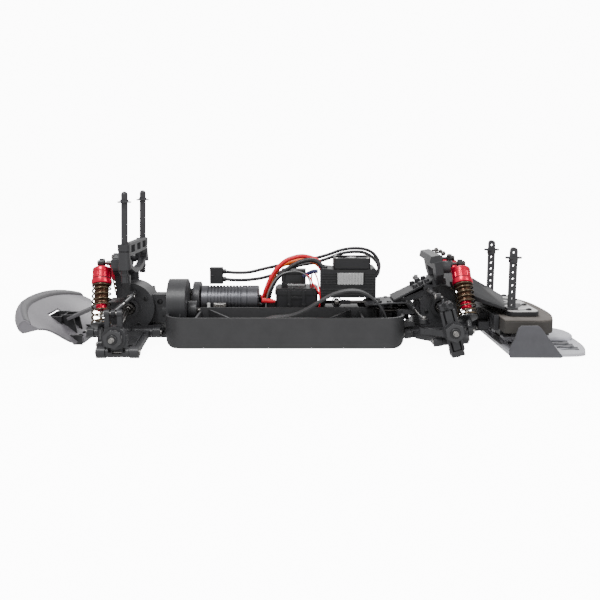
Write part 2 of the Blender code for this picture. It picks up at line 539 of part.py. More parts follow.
for i, p in enumerate(mid):
    t = (mid[min(i + 1, len(mid) - 1)] - mid[max(i - 1, 0)]).normalized()
    up.append((p.x - t.z * 0.9, p.z + t.x * 0.9))
    down.append((p.x + t.z * 0.9, p.z - t.x * 0.9))
node("battery_strap", plate(up + down[::-1], "Y", -46, -30), RUBBER)


# ---------- shock absorbers ----------
def shock(stem, top, low, spring_end, turns, cup_at):
    top, low = Vector(top), Vector(low)
    length = (low - top).length
    u = (low - top) / length
    at = lambda d: top + u * d
    eye = Vector((1, 0, 0))
    body = fuse(lathe([(0, 5.6), (8, 5.6), (9.8, 7.4), (9.8, 18.4), (10.5, 18.5), (10.5, 24.6), (7.4, 24.7), (7.4, 45), (5.2, 45.2), (5.2, 53), (2.1, 53), (2.1, 26), (0, 26)], top, u, 12),
                rod(top - eye * 2.4, top + eye * 2.4, 4.8, n=14), rod(at(2.5), at(6.5), 2.6, n=10),
                cut=(rod(top - eye * 4, top + eye * 4, 2.2, n=10),))
    both(stem + "_shock_body", body, RED, top)
    stem_rod = fuse(rod(at(43), at(cup_at + 1), 1.5, n=8), rod(at(cup_at), at(cup_at + 3), 10.2, 8.5, n=14),
                    rod(at(cup_at + 2.5), at(length - 3.8), 3.0, n=10), rod(low - eye * 2.4, low + eye * 2.4, 5.2, n=14),
                    cut=(rod(low - eye * 4, low + eye * 4, 3.3, n=10),))
    both(stem + "_shock_rod", stem_rod, STEEL, low)
    rot = u.to_track_quat("Z", "Y").to_matrix()
    n = int(turns * 6)
    a, b = 26.0, spring_end
    pts = []
    for i in range(n + 1):
        t = i / n
        ang = 2 * math.pi * turns * t
        r = 9.4
        d = a + (b - a) * t
        pts.append(top + rot @ Vector((r * math.cos(ang), r * math.sin(ang), d)))
    coil = tube(pts, 0.9, smooth=False)
    both(stem + "_spring", coil, SPRING, at(a))
    return length, u


r_len, r_u = shock("rear", R_SHOCK_TOP, R_SHOCK_LOW, 66.8, 6.5, 68.3)
f_len, f_u = shock("front", F_SHOCK_TOP, F_SHOCK_LOW, 60.2, 6.0, 61.6)

# ---------- rear corner ----------
hy, hz = REAR_HINGE
oy = REAR_OUTER_Y
arm = plate([(-219, hy), (-160, hy), (-161, -50), (-161, oy), (-169.2, oy), (-169.2, -79), (-193.9, -79), (-193.9, oy), (-202.5, oy), (-202.5, -84), (-200.8, -80), (-200.8, -62), (-215, -38)], "Z", 11.4, 17.6)
arm = fuse(arm, rod((-220.7, hy, hz), (-158.4, hy, hz), 4.5), rod((-203, oy, hz), (-193.9, oy, hz), 6), rod((-169.2, oy, hz), (-160.4, oy, hz), 6),
           cut=(plate([(-208, -36), (-168, -36), (-168, -52), (-199, -52)], "Z", 5, 25), plate([(-195, -57), (-168, -57), (-168, -73), (-195, -73)], "Z", 5, 25)))
arm = turned(arm, REAR_DROOP, "X", (0, hy, hz))
lx, ly, lz = R_SHOCK_LOW
arm = fuse(arm, rod((-196, ly, lz - 0.5), (lx + 2.9, ly, lz), 4.2), rod((lx + 3.4, ly, lz), (lx - 4.2, ly, lz), 1.6, n=8))
both("rear_arm", arm, PLASTIC, (-190, hy, hz))
rox, roz = REAR_AXLE
w_oy = hy + (oy - hy) * math.cos(math.radians(REAR_DROOP))
w_oz = hz + (oy - hy) * math.sin(math.radians(REAR_DROOP))
hub = fuse(rod((-193.3, w_oy, w_oz), (-169.8, w_oy, w_oz), 5.2), box(-192, -171.5, w_oy - 3.5, w_oy + 4, 5, 24), rod((rox, -97, roz), (rox, -85, roz), 12, n=14),
           box(-194, -189.3, -93, -87, 18, 48), box(-181.2, -176.5, -93, -87, 18, 48),
           cut=(rod((rox, -110, roz), (rox, -70, roz), 4.5, n=14),))
both("rear_hub_carrier", hub, PLASTIC, (rox, w_oy, w_oz))


def axle(x, z, inner):
    """Wheel hex with its stub axle. The rear one carries a drive cup inboard of the hub."""
    r = HEX_AF / 2 / math.cos(math.pi / 6)
    return fuse(rod((x, -97.5, z), (x, -TRACK_FACE, z), r, n=6, roll=12), rod((x, -87, z), (x, -98, z), 4.0, n=12), *inner, rod((x, -TRACK_FACE + 0.2, z), (x, -TRACK_FACE - 2.2, z), 4.6, n=14), rod((x, -TRACK_FACE, z), (x, -111.5, z), 2.8, n=12))


both("rear_wheel_hex", axle(rox, roz, [rod((rox, -80, roz), (rox, -88, roz), 4.0, n=12), rod((rox, -78, roz), (rox, -84.3, roz), 6.2, n=12)]), DARKMETAL, (rox, -100, roz))
mx = Vector(R_LINK_IN).lerp(Vector(R_LINK_OUT), 0.5)
link = fuse(rod(R_LINK_IN, R_LINK_OUT, 2.0, n=10), ball(R_LINK_IN, 4.0), ball(R_LINK_OUT, 3.2),
            rod(Vector(R_LINK_IN).lerp(mx, 0.3), Vector(R_LINK_OUT).lerp(mx, 0.4), 2.7, n=8))
both("rear_camber_link", link, PLASTIC, R_LINK_IN)

# ---------- front corner ----------
px, py, pz = FRONT_HINGE
oy = FRONT_OUTER_Y
arm = plate([(122, py), (190, py), (187, -44), (173, -62), (172, oy), (163.9, oy), (163.9, -68), (145.1, -68), (145.1, oy), (137, oy), (136, -62), (125, -44)], "Z", pz - 3.2, pz + 3.2)
arm = fuse(arm, rod((121.6, py, pz), (191.2, py, pz), 4.5), rod((137, oy, pz), (145.1, oy, pz), 5.2), rod((163.9, oy, pz), (172, oy, pz), 5.2),
           cut=(plate([(132, -36), (180, -36), (168, -58), (141, -58)], "Z", 5, 30),))
arm = turned(arm, -KICK_UP, "Y", (px, 0, pz))
lx, ly, lz = F_SHOCK_LOW
arm = fuse(arm, box(164.5, 172.6, ly - 5, ly + 5, 15, 25.5), rod((172, ly, lz - 1), (lx + 4.2, ly, lz), 1.6, n=8))
both("front_arm", arm, PLASTIC, FRONT_HINGE)

kx, ky, kz = KINGPIN
za, zb = line_z(145.6), line_z(163.4)
chub = fuse(box(148, 157.5, -84.4, -78.6, 2, 56), box(147, 160, -95, -79, 50.5, 56.5), box(147, 160, -95, -79, 1.5, 7.4),
            cut=(box(144, 152, -86, -77, 19, 33),))
chub = turned(chub, -CASTER, "Y", KINGPIN)
chub = fuse(chub, rod((145.6, oy, za), (163.4, oy, zb), 4.6), rod((146, -81, 55.5), (144, -81, 55.6), 3))
both("front_caster_block", chub, PLASTIC, (FRONT_AXLE[0], oy, line_z(FRONT_AXLE[0])))
knuckle = fuse(rod((kx, ky, 8), (kx, ky, 49.9), 5.1, n=14), box(kx - 3.4, kx + 3.4, -96.6, -91, 9, 49))
knuckle = turned(knuckle, -CASTER, "Y", KINGPIN)
knuckle = fuse(knuckle, rod((FRONT_AXLE[0], -97, kz), (FRONT_AXLE[0], -89.5, kz), 10.6, n=14),
               beam((149, -91.5, 25), (127.5, -75.5, 25), 5.5, 6), rod((127.5, -75, 22), (127.5, -75, 28), 4.4),
               cut=(rod((FRONT_AXLE[0], -110, kz), (FRONT_AXLE[0], -70, kz), 4.5, n=14),))
both("front_knuckle", knuckle, PLASTIC, KINGPIN)
both("front_wheel_hex", axle(FRONT_AXLE[0], kz, []), DARKMETAL, (FRONT_AXLE[0], -100, kz))
link = fuse(rod(F_LINK_IN, F_LINK_OUT, 2.0, n=10), ball(F_LINK_IN, 4.0), ball(F_LINK_OUT, 3.6),
            rod(Vector(F_LINK_IN).lerp(Vector(F_LINK_OUT), 0.2), Vector(F_LINK_IN).lerp(Vector(F_LINK_OUT), 0.8), 2.7, n=8))
both("front_camber_link", link, PLASTIC, F_LINK_IN)

for left in list(HELP.objects):
    left.hide_render = True
    left.display_type = "WIRE"
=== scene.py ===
"""Looks of the rolling chassis of a radio controlled car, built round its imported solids."""

import json
import math

import bmesh
import bpy
from mathutils import Matrix, Vector

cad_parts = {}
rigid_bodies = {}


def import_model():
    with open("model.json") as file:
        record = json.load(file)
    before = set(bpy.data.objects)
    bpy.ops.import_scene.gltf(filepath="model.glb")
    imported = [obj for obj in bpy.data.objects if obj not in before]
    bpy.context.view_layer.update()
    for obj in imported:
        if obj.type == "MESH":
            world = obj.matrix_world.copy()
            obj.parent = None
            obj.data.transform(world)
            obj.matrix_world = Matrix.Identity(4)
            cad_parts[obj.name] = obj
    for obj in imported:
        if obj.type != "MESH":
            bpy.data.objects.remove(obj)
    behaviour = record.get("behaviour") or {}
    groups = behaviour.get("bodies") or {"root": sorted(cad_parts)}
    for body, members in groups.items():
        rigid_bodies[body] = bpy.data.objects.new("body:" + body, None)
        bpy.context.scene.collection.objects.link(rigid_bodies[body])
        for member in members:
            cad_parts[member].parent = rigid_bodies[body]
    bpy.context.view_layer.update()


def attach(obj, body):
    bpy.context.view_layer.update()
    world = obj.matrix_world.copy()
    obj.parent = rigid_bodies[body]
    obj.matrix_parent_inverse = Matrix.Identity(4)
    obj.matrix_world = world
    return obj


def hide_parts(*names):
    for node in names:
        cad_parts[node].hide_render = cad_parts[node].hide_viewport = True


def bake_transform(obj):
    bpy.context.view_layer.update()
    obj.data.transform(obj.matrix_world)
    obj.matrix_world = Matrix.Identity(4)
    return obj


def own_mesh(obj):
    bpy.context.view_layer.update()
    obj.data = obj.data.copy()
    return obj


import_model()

MM = 0.001
SEG = 32
FINE = 1

REAR_AXLE = (-184.5, 21.2)
FRONT_AXLE = (154.5, 27.7)
TRACK_FACE = 103.0
HEX_AF = 17.0
TUB = (-141.5, 112.0, 62.0, 3.2, 35.7)
FLOOR = 3.0
TRAY_WALL_Y = -8.0
REAR_HINGE = (-28.0, 14.5)
REAR_OUTER_Y = -92.5
REAR_DROOP = 7.4
FRONT_HINGE = (155.0, -28.0, 16.2)
KICK_UP = 5.65
FRONT_OUTER_Y = -80.0
CASTER = 15.6
KINGPIN = (153.5, -90.0, 27.7)
SPUR_Z = 33.5
SPUR_TEETH, PINION_TEETH = 49, 20
MOTOR_Y, MOTOR_Z = 34.3, 39.0
R_SHOCK_TOP, R_SHOCK_LOW = (-209.0, -32.0, 90.0), (-204.0, -72.0, 10.0)
F_SHOCK_TOP, F_SHOCK_LOW = (171.5, -30.0, 89.0), (175.6, -72.0, 24.0)
R_LINK_IN, R_LINK_OUT = (-177.0, -40.0, 55.0), (-185.3, -90.0, 46.0)
F_LINK_IN, F_LINK_OUT = (139.0, -40.0, 60.0), (141.0, -79.0, 60.5)
TIE_IN, TIE_OUT = (122.0, -25.0, 42.0), (127.5, -75.0, 35.0)
POST_Y = 48.0

scene = bpy.context.scene
LOOKS = bpy.data.collections.new("looks")
HELP = bpy.data.collections.new("cutters")
scene.collection.children.link(LOOKS)
scene.collection.children.link(HELP)

# ---------- camera ----------
cam_data = bpy.data.cameras.new("camera")
cam_data.lens = 47.5
cam_data.sensor_width = 36
cam_data.clip_start, cam_data.clip_end = 0.01, 50
cam = bpy.data.objects.new("camera", cam_data)
scene.collection.objects.link(cam)
cam.location = (0.0012, -0.87, 0.1784)
cam.rotation_euler = (math.radians(90 - 8.7), 0, 0)
scene.camera = cam


# ---------- finishes ----------
def finish_of(name, colour, rough=0.5, metal=0.0, vary=0.15, grain=1500.0, bump=0.12, stretch=(1, 1, 1), speck=0.0, coat=0.0, patch=60.0):
    """A procedural finish: cloudy colour change, fine grain in roughness and relief, and pale specks."""
    m = bpy.data.materials.new(name)
    m.use_nodes = True
    nt = m.node_tree
    n, link = nt.nodes, nt.links.new
    b = n["Principled BSDF"]
    b.inputs["Metallic"].default_value = metal
    b.inputs["Coat Weight"].default_value = coat
    b.inputs["Coat Roughness"].default_value = 0.15
    where = n.new("ShaderNodeTexCoord")
    turn = n.new("ShaderNodeMapping")
    turn.inputs["Scale"].default_value = stretch
    link(where.outputs["Object"], turn.inputs["Vector"])
    cloud = n.new("ShaderNodeTexNoise")
    cloud.inputs["Scale"].default_value = patch
    cloud.inputs["Detail"].default_value = 6
    cloud.inputs["Roughness"].default_value = 0.65
    link(where.outputs["Object"], cloud.inputs["Vector"])
    ramp = n.new("ShaderNodeValToRGB")
    ramp.color_ramp.elements[0].position = 0.3
    ramp.color_ramp.elements[1].position = 0.72
    ramp.color_ramp.elements[0].color = (*[c * (1 - vary) for c in colour], 1)
    ramp.color_ramp.elements[1].color = (*[min(1, c * (1 + vary)) for c in colour], 1)
    link(cloud.outputs["Fac"], ramp.inputs["Fac"])
    fine = n.new("ShaderNodeTexNoise")
    fine.inputs["Scale"].default_value = grain
    fine.inputs["Detail"].default_value = 4
    link(turn.outputs["Vector"], fine.inputs["Vector"])
    spots = n.new("ShaderNodeMapRange")
    spots.inputs["From Min"].default_value = 0.62
    spots.inputs["From Max"].default_value = 0.8
    spots.inputs["To Min"].default_value = 0.0
    spots.inputs["To Max"].default_value = speck
    link(fine.outputs["Fac"], spots.inputs["Value"])
    mix = n.new("ShaderNodeMix")
    mix.data_type = "RGBA"
    link(spots.outputs["Result"], mix.inputs[0])
    link(ramp.outputs["Color"], mix.inputs[6])
    mix.inputs[7].default_value = (*[min(1, c * 2.2 + 0.03) for c in colour], 1)
    link(mix.outputs[2], b.inputs["Base Color"])
    worn = n.new("ShaderNodeMapRange")
    worn.inputs["From Min"].default_value = 0.3
    worn.inputs["From Max"].default_value = 0.7
    worn.inputs["To Min"].default_value = max(0.04, rough - 0.09)
    worn.inputs["To Max"].default_value = min(1, rough + 0.09)
    link(fine.outputs["Fac"], worn.inputs["Value"])
    link(worn.outputs["Result"], b.inputs["Roughness"])
    relief = n.new("ShaderNodeBump")
    relief.inputs["Strength"].default_value = bump
    relief.inputs["Distance"].default_value = 0.0002
    link(fine.outputs["Fac"], relief.inputs["Height"])
    link(relief.outputs["Normal"], b.inputs["Normal"])
    return m


PLASTIC = finish_of("fibre_plastic", (0.033, 0.033, 0.036), 0.42, grain=2600, bump=0.3, speck=0.25)
HEXP = finish_of("hex_plastic", (0.05, 0.05, 0.053), 0.36, grain=2600, bump=0.15, speck=0.1)
PLASTIC2 = finish_of("fibre_plastic_dark", (0.02, 0.02, 0.022), 0.4, grain=2600, bump=0.3, speck=0.2)
TUBMAT = finish_of("tub_plastic", (0.036, 0.036, 0.038), 0.5, grain=2200, bump=0.4, speck=0.3)
BLACKP = finish_of("black_plastic", (0.014, 0.014, 0.016), 0.38, grain=2600, bump=0.2, speck=0.08)
GREYSKIN = finish_of("bumper_grey", (0.19, 0.182, 0.2), 0.42, grain=1800, bump=0.15, speck=0.1, vary=0.06)
RIMSKIN = finish_of("bumper_rim", (0.11, 0.108, 0.115), 0.5, grain=1800, bump=0.2, speck=0.1)
PALESKIN = finish_of("splitter_pale", (0.56, 0.56, 0.6), 0.3, grain=1800, bump=0.05, vary=0.04)
FENCE = finish_of("fence_grey", (0.085, 0.085, 0.095), 0.45, grain=2000, bump=0.25, speck=0.15)
REDMET = finish_of("red_anodised", (0.75, 0.008, 0.05), 0.3, metal=0.75, grain=700, bump=0.05, stretch=(1, 1, 6), vary=0.08)
BRONZE = finish_of("bronze_anodised", (0.16, 0.085, 0.055), 0.32, metal=0.9, grain=900, bump=0.06, stretch=(1, 1, 8))
STEEL = finish_of("bright_steel", (0.36, 0.35, 0.335), 0.3, metal=1.0, grain=900, bump=0.05, stretch=(1, 8, 1), vary=0.08)
# Painted shade: the shock shaft steel is a darker copy of bright_steel. The real shafts are bright silver, and the
# lowered colour paints the shade and dark reflections around them.
SHADED_ROD_STEEL = finish_of("shock_rod_steel_painted_shade", (0.22, 0.215, 0.2), 0.28, metal=1.0, grain=900, bump=0.05, stretch=(1, 1, 6))
DARKST = finish_of("dark_steel", (0.13, 0.125, 0.12), 0.34, metal=1.0, grain=900, bump=0.08, vary=0.15)
SCREWM = finish_of("screw_black", (0.05, 0.05, 0.052), 0.3, metal=0.9, grain=1500, bump=0.1)
SPRINGM = finish_of("spring_wire", (0.14, 0.105, 0.07), 0.27, metal=1.0, grain=1200, bump=0.06)
MOTORM = finish_of("motor_black", (0.1, 0.1, 0.11), 0.36, metal=0.85, grain=900, bump=0.08, stretch=(1, 1, 1), vary=0.1)
ALU = finish_of("heatsink_alu", (0.75, 0.75, 0.75), 0.3, metal=1.0, grain=900, bump=0.06, vary=0.05)
FOAM = finish_of("foam", (0.05, 0.046, 0.042), 0.9, grain=700, bump=0.9, speck=0.25, vary=0.12)
FOAMTOP = finish_of("foam_top", (0.13, 0.118, 0.108), 0.9, grain=700, bump=0.8, speck=0.2)
PALEPL = finish_of("plate_pale", (0.66, 0.65, 0.64), 0.35, grain=1200, bump=0.05, vary=0.04)
MARK = finish_of("plate_dark_pattern", (0.02, 0.02, 0.022), 0.4, grain=1200, bump=0.1)
RUBBER = finish_of("wire_black", (0.02, 0.02, 0.022), 0.42, grain=1500, bump=0.15)
STRAPM = finish_of("strap_rubber", (0.03, 0.03, 0.032), 0.62, grain=1500, bump=0.4, speck=0.15)
WRED = finish_of("wire_red", (0.8, 0.012, 0.03), 0.38, grain=1200, bump=0.1, vary=0.06)
WORANGE = finish_of("wire_orange", (0.95, 0.17, 0.005), 0.38, grain=1200, bump=0.1, vary=0.05)
WNAVY = finish_of("sleeve_navy", (0.02, 0.022, 0.09), 0.45, grain=1200, bump=0.1)
WGREY = finish_of("wire_grey", (0.2, 0.2, 0.2), 0.45, grain=1200, bump=0.1)
WHITEP = finish_of("white_plastic", (0.62, 0.62, 0.62), 0.4, grain=1500, bump=0.06, vary=0.04)
BRASS = finish_of("gear_steel", (0.32, 0.31, 0.3), 0.35, metal=1.0, grain=900, bump=0.08)


# ---------- shapes ----------
def keep(bm, name="shape"):
    me = bpy.data.meshes.new(name)
    bm.to_mesh(me)
    bm.free()
    ob = bpy.data.objects.new(name, me)
    HELP.objects.link(ob)
    return ob


def box(x0, x1, y0, y1, z0, z1):
    bm = bmesh.new()
    m = Matrix.Translation(Vector(((x0 + x1) / 2, (y0 + y1) / 2, (z0 + z1) / 2)) * MM)
    m = m @ Matrix.Diagonal(((x1 - x0) * MM, (y1 - y0) * MM, (z1 - z0) * MM, 1))
    bmesh.ops.create_cube(bm, size=1, matrix=m)
    return keep(bm)


def rod(p, q, r, r2=None, n=None, roll=0.0):
    p, q = Vector(p), Vector(q)
    d = q - p
    turn = d.to_track_quat("Z", "Y").to_matrix().to_4x4() @ Matrix.Rotation(math.radians(roll), 4, "Z")
    bm = bmesh.new()
    bmesh.ops.create_cone(bm, cap_ends=True, segments=n or SEG, radius1=r * MM,
                          radius2=(r if r2 is None else r2) * MM, depth=d.length * MM,
                          matrix=Matrix.Translation((p + q) / 2 * MM) @ turn)
    return keep(bm)


def ball(p, r, n=24):
    bm = bmesh.new()
    bmesh.ops.create_uvsphere(bm, u_segments=n, v_segments=max(6, n * 2 // 3), radius=r * MM,
                              matrix=Matrix.Translation(Vector(p) * MM))
    return keep(bm)


def beam(p, q, w, h, up=(0, 0, 1)):
    """A bar of rectangular section from p to q: w across, h along up."""
    p, q = Vector(p), Vector(q)
    d = (q - p)
    a = d.normalized()
    b = Vector(up).cross(a).normalized()
    c = a.cross(b)
    m = Matrix((a * d.length, b * w, c * h)).transposed().to_4x4()
    m = Matrix.Translation((p + q) / 2 * MM) @ Matrix.Diagonal((MM, MM, MM, 1)) @ m
    bm = bmesh.new()
    bmesh.ops.create_cube(bm, size=1, matrix=m)
    return keep(bm)


def settle(ob):
    """The evaluated mesh of an object, welded, as a new mesh object."""
    bpy.context.view_layer.update()
    graph = bpy.context.evaluated_depsgraph_get()
    me = bpy.data.meshes.new_from_object(ob.evaluated_get(graph))
    bm = bmesh.new()
    bm.from_mesh(me)
    bm.transform(ob.matrix_world)
    bmesh.ops.remove_doubles(bm, verts=bm.verts, dist=1e-6)
    bmesh.ops.recalc_face_normals(bm, faces=bm.faces)
    bm.to_mesh(me)
    bm.free()
    new = bpy.data.objects.new(ob.name, me)
    HELP.objects.link(new)
    bpy.data.objects.remove(ob, do_unlink=True)
    return new


def plate(points, axis, a, b):
    """A flat outline extruded from a to b along an axis. Points are (x,y), (x,z) or (y,z)."""
    cu = bpy.data.curves.new("outline", "CURVE")
    cu.dimensions = "2D"
    cu.fill_mode = "BOTH"
    cu.extrude = abs(b - a) / 2 * MM
    sp = cu.splines.new("POLY")
    sp.points.add(len(points) - 1)
    for pt, (u, v) in zip(sp.points, points):
        pt.co = (u * MM, v * MM, 0, 1)
    sp.use_cyclic_u = True
    ob = bpy.data.objects.new("outline", cu)
    HELP.objects.link(ob)
    mid = (a + b) / 2 * MM
    if axis == "Z":
        ob.matrix_world = Matrix.Translation((0, 0, mid))
    elif axis == "Y":
        ob.matrix_world = Matrix.Translation((0, mid, 0)) @ Matrix.Rotation(math.pi / 2, 4, "X")
    else:
        ob.matrix_world = Matrix(((0, 0, 1, mid), (1, 0, 0, 0), (0, 1, 0, 0), (0, 0, 0, 1)))
    return settle(ob)


def rounded(x0, x1, y0, y1, r, n=10):
    out = []
    for cx, cy, a0 in ((x1 - r, y1 - r, 0), (x0 + r, y1 - r, 90), (x0 + r, y0 + r, 180), (x1 - r, y0 + r, 270)):
        for i in range(n + 1):
            a = math.radians(a0 + 90 * i / n)
            out.append((cx + r * math.cos(a), cy + r * math.sin(a)))
    return out


def tube(points, r, res=2, smooth=True):
    """A wire through points, read from a smooth curve."""
    pts = spline(points, 2.6 * 2 * r) if smooth else points
    cu = bpy.data.curves.new("wire", "CURVE")
    cu.dimensions = "3D"
    cu.bevel_depth = r * MM
    cu.bevel_resolution = res
    cu.use_fill_caps = True
    sp = cu.splines.new("POLY")
    sp.points.add(len(pts) - 1)
    for pt, p in zip(sp.points, pts):
        pt.co = (p[0] * MM, p[1] * MM, p[2] * MM, 1)
    ob = bpy.data.objects.new("wire", cu)
    HELP.objects.link(ob)
    return settle(ob)


def spline(points, step):
    """Points at an even spacing along a Catmull-Rom curve through the given points."""
    p = [Vector(q) for q in points]
    p = [2 * p[0] - p[1]] + p + [2 * p[-1] - p[-2]]
    fine = []
    for i in range(1, len(p) - 2):
        for k in range(24):
            t = k / 24
            fine.append(0.5 * ((2 * p[i]) + (p[i + 1] - p[i - 1]) * t
                               + (2 * p[i - 1] - 5 * p[i] + 4 * p[i + 1] - p[i + 2]) * t * t
                               + (3 * p[i] - p[i - 1] - 3 * p[i + 1] + p[i + 2]) * t ** 3))
    fine.append(p[-2])
    length = sum((b - a).length for a, b in zip(fine, fine[1:]))
    n = max(4, round(length / step))
    out, want, run = [fine[0]], length / n, 0.0
    for a, b in zip(fine, fine[1:]):
        d = (b - a).length
        while run + d >= want - 1e-9 and len(out) < n:
            out.append(a.lerp(b, (want - run) / d))
            want += length / n
        run += d
    out.append(fine[-1])
    return out


def fuse(base, *adds, cut=()):
    """Boolean union with adds, then difference with cut, one after the other."""
    for mode, group in (("UNION", adds), ("DIFFERENCE", cut)):
        for other in group:
            mod = base.modifiers.new("b", "BOOLEAN")
            mod.operation = mode
            mod.object = other
            base = settle(base)
            bpy.data.objects.remove(other, do_unlink=True)
    return base


def lathe(profile, p, d, n=SEG):
    """A turned piece: (radius, distance) points along direction d from p, both ends on the axis."""
    bm = bmesh.new()
    vs = [bm.verts.new((r * MM, 0, -t * MM)) for r, t in profile]
    for a, b in zip(vs, vs[1:]):
        bm.edges.new((a, b))
    ob = keep(bm)
    mod = ob.modifiers.new("turn", "SCREW")
    mod.axis = "Z"
    mod.steps = mod.render_steps = n
    mod.use_merge_vertices = True
    mod.merge_threshold = 1e-5
    ob = settle(ob)
    turn = (-Vector(d)).to_track_quat("Z", "Y").to_matrix().to_4x4()
    ob.data.transform(Matrix.Translation(Vector(p) * MM) @ turn)
    return ob


def common(base, other):
    mod = base.modifiers.new("b", "BOOLEAN")
    mod.operation = "INTERSECT"
    mod.object = other
    new = settle(base)
    bpy.data.objects.remove(other, do_unlink=True)
    return new


def turned(ob, degrees, axis, about):
    about = Vector(about) * MM
    ob.data.transform(Matrix.Translation(about) @ Matrix.Rotation(math.radians(degrees), 4, axis) @ Matrix.Translation(-about))
    return ob


def join(*obs):
    """Several meshes as one object, with no Boolean."""
    bm = bmesh.new()
    for ob in obs:
        bm.from_mesh(ob.data)
        bpy.data.objects.remove(ob, do_unlink=True)
    return keep(bm)


def dress(ob, look, bevel, smooth=38):
    me = ob.data
    me.materials.clear()
    me.materials.append(look)
    me.shade_smooth()
    me.set_sharp_from_angle(angle=math.radians(smooth))
    if bevel:
        mod = ob.modifiers.new("edges", "BEVEL")
        mod.width = bevel * MM
        mod.segments = 2
        mod.limit_method = "ANGLE"
        mod.angle_limit = math.radians(32)
        mod.use_clamp_overlap = True
        mod.miter_outer = "MITER_ARC"
    mod = ob.modifiers.new("shading", "WEIGHTED_NORMAL")
    mod.keep_sharp = True
    mod.weight = 60


def put(name, shape, look, body="chassis", rep=(), bevel=0.4, smooth=38):
    """A finished piece that rides on a body, and the solids that it stands for."""
    ob = bpy.data.objects.new(name, shape.data)
    ob.data.name = name
    bpy.data.objects.remove(shape, do_unlink=True)
    LOOKS.objects.link(ob)
    dress(ob, look, bevel, smooth)
    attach(ob, body)
    if rep:
        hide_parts(*rep)
    return ob


def put2(stem, shape, look, body="chassis", rep=(), bevel=0.4, smooth=38):
    """The right piece and its mirror image on the left."""
    me = shape.data.copy()
    me.transform(Matrix.Diagonal((1, -1, 1, 1)))
    me.flip_normals()
    other = bpy.data.objects.new("mirror", me)
    HELP.objects.link(other)
    side = lambda s, b: b if b in ("chassis", "rack", "spur_gear") else b + s
    right = put(stem + "_right", shape, look, side("_right", body), [r + "_right" for r in rep], bevel, smooth)
    left = put(stem + "_left", other, look, side("_left", body), [r + "_left" for r in rep], bevel, smooth)
    return right, left


def screw(p, d, r=2.6, h=1.6, socket=0.5):
    """A button head screw with a round socket: p is the seat, d points out."""
    p, d = Vector(p), Vector(d).normalized()
    return turned_head(p, d, r, h, socket)


def turned_head(p, d, r, h, socket):
    start = p + d * h
    return lathe([(0, h * 0.65), (r * socket, h * 0.65), (r * socket, 0.02), (r * 0.72, 0), (r * 0.93, h * 0.25), (r, h * 0.65), (r, h + 0.3), (0, h + 0.3)], start, -d, 20)


def mid(p, q, t=0.5):
    return Vector(p).lerp(Vector(q), t)


# ---------- wires first ----------
LEAD_A = [(86.4, 44, 70), (88.6, 44, 70), (93.5, 46.5, 76), (92, 49, 85), (86, 51, 93), (76, 52, 97.5), (62, 52, 98.3), (48, 52, 96), (34, 52, 91), (18, 52, 86.5), (0, 52, 82),
          (-20, 51, 79), (-40, 48, 75), (-58, 46, 71), (-74, 45, 70.6), (-84, 45, 71.5), (-88.1, 45, 72)]
LEAD_B = [(86.4, 40, 66), (88.6, 40, 66), (92.5, 42.2, 73), (90.8, 45, 82), (84.5, 47, 89), (75, 48, 93.8), (62, 48, 94.6), (48, 48, 92.3), (34, 48, 87), (18, 48, 82), (0, 48.2, 78.5),
          (-20, 48, 71.5), (-40, 46, 65), (-58, 44, 62.4), (-74, 44, 62), (-84, 45, 62.8), (-88.1, 45, 63)]


def wire(name, points, r, look, body="chassis", res=5, step=3.0):
    pts = spline(points, step)
    ob = put(name, tube(pts, r, res, smooth=False), look, body, bevel=0)
    return ob, pts


connector = join(fuse(box(-103.4, -88.4, 40.6, 49.9, 57.7, 76.9), cut=(box(-106, -94, 42.4, 48.1, 60.2, 74.4),)),
                 box(-103.0, -99, 40.2, 50.3, 66, 68.4), rod((-88.6, 45, 63), (-84.6, 45, 63), 2.9), rod((-88.6, 45, 72), (-84.6, 45, 72), 2.9))
connector = put("battery_connector_shell", connector, BLACKP, rep=("battery_connector",), bevel=0.5)
pins = put("battery_connector_pins", join(rod((-100, 45.2, 63), (-93, 45.2, 63), 1.8, n=16), rod((-100, 45.2, 72), (-93, 45.2, 72), 1.8, n=16)), BRASS, bevel=0.2)
for label, route in (("a", LEAD_A), ("b", LEAD_B)):
    ob, pts = wire("battery_wire_" + label, route, 1.9, RUBBER)
    if label == "a":
        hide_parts("battery_lead")

# ---------- chassis tub ----------
x0, x1, hw, z0, z1 = TUB
tub = common(plate(rounded(x0, x1, -hw, hw, 22), "Z", z0, z1),
             plate(rounded(x0, x1, z0, z1 + 40, 11), "Y", -hw - 1, hw + 1))
wall = 2.6
hollow = common(plate(rounded(x0 + wall, x1 - wall, -hw + wall, hw - wall, 20), "Z", z0 + FLOOR, z1 + 20),
                plate(rounded(x0 + wall, x1 - wall, z0 + FLOOR, z1 + 50, 9.5), "Y", -hw, hw))
tub = fuse(tub, cut=(hollow, box(x0 - 2, x0 + 9, 28, 51, 22, 50), box(x0 - 2, x0 + 14, -30, 30, 10.8, 50), box(x1 - 14, x1 + 2, -30, 30, 10.8, 50)))
front_plate = turned(box(104, 206, -22, 22, 6.2, 9.2), -KICK_UP, "Y", (112, 0, 9.2))
tub = fuse(tub,
           box(-232, -138, -22, 22, 7.2, 10.2),
           front_plate,
           box(-109, 85.5, TRAY_WALL_Y - 1.1, TRAY_WALL_Y + 1.1, 5, 38.2),
           box(-109.2, -107, -60, TRAY_WALL_Y, 5, 34.5),
           box(66, 68.2, -60, TRAY_WALL_Y, 5, 34.5),
           beam((-99, -7.5, 20.5), (-73, -60, 20.5), 2.2, 31),
           beam((57, -7.5, 20.5), (33, -60, 20.5), 2.2, 31))
put("tub_moulding", tub, TUBMAT, rep=("chassis_tub",), bevel=0.45)
heads = [screw((x, y, z0 + 0.1), (0, 0, -1), 2.9, 0.9) for x, y in ((-130, -12), (-130, 12), (-118, 26), (-118, 44), (30, 16), (66, 16), (30, 44), (66, 44), (-20, 20), (15, 40), (100, -14), (100, 14), (-60, 12), (-100, 12))]
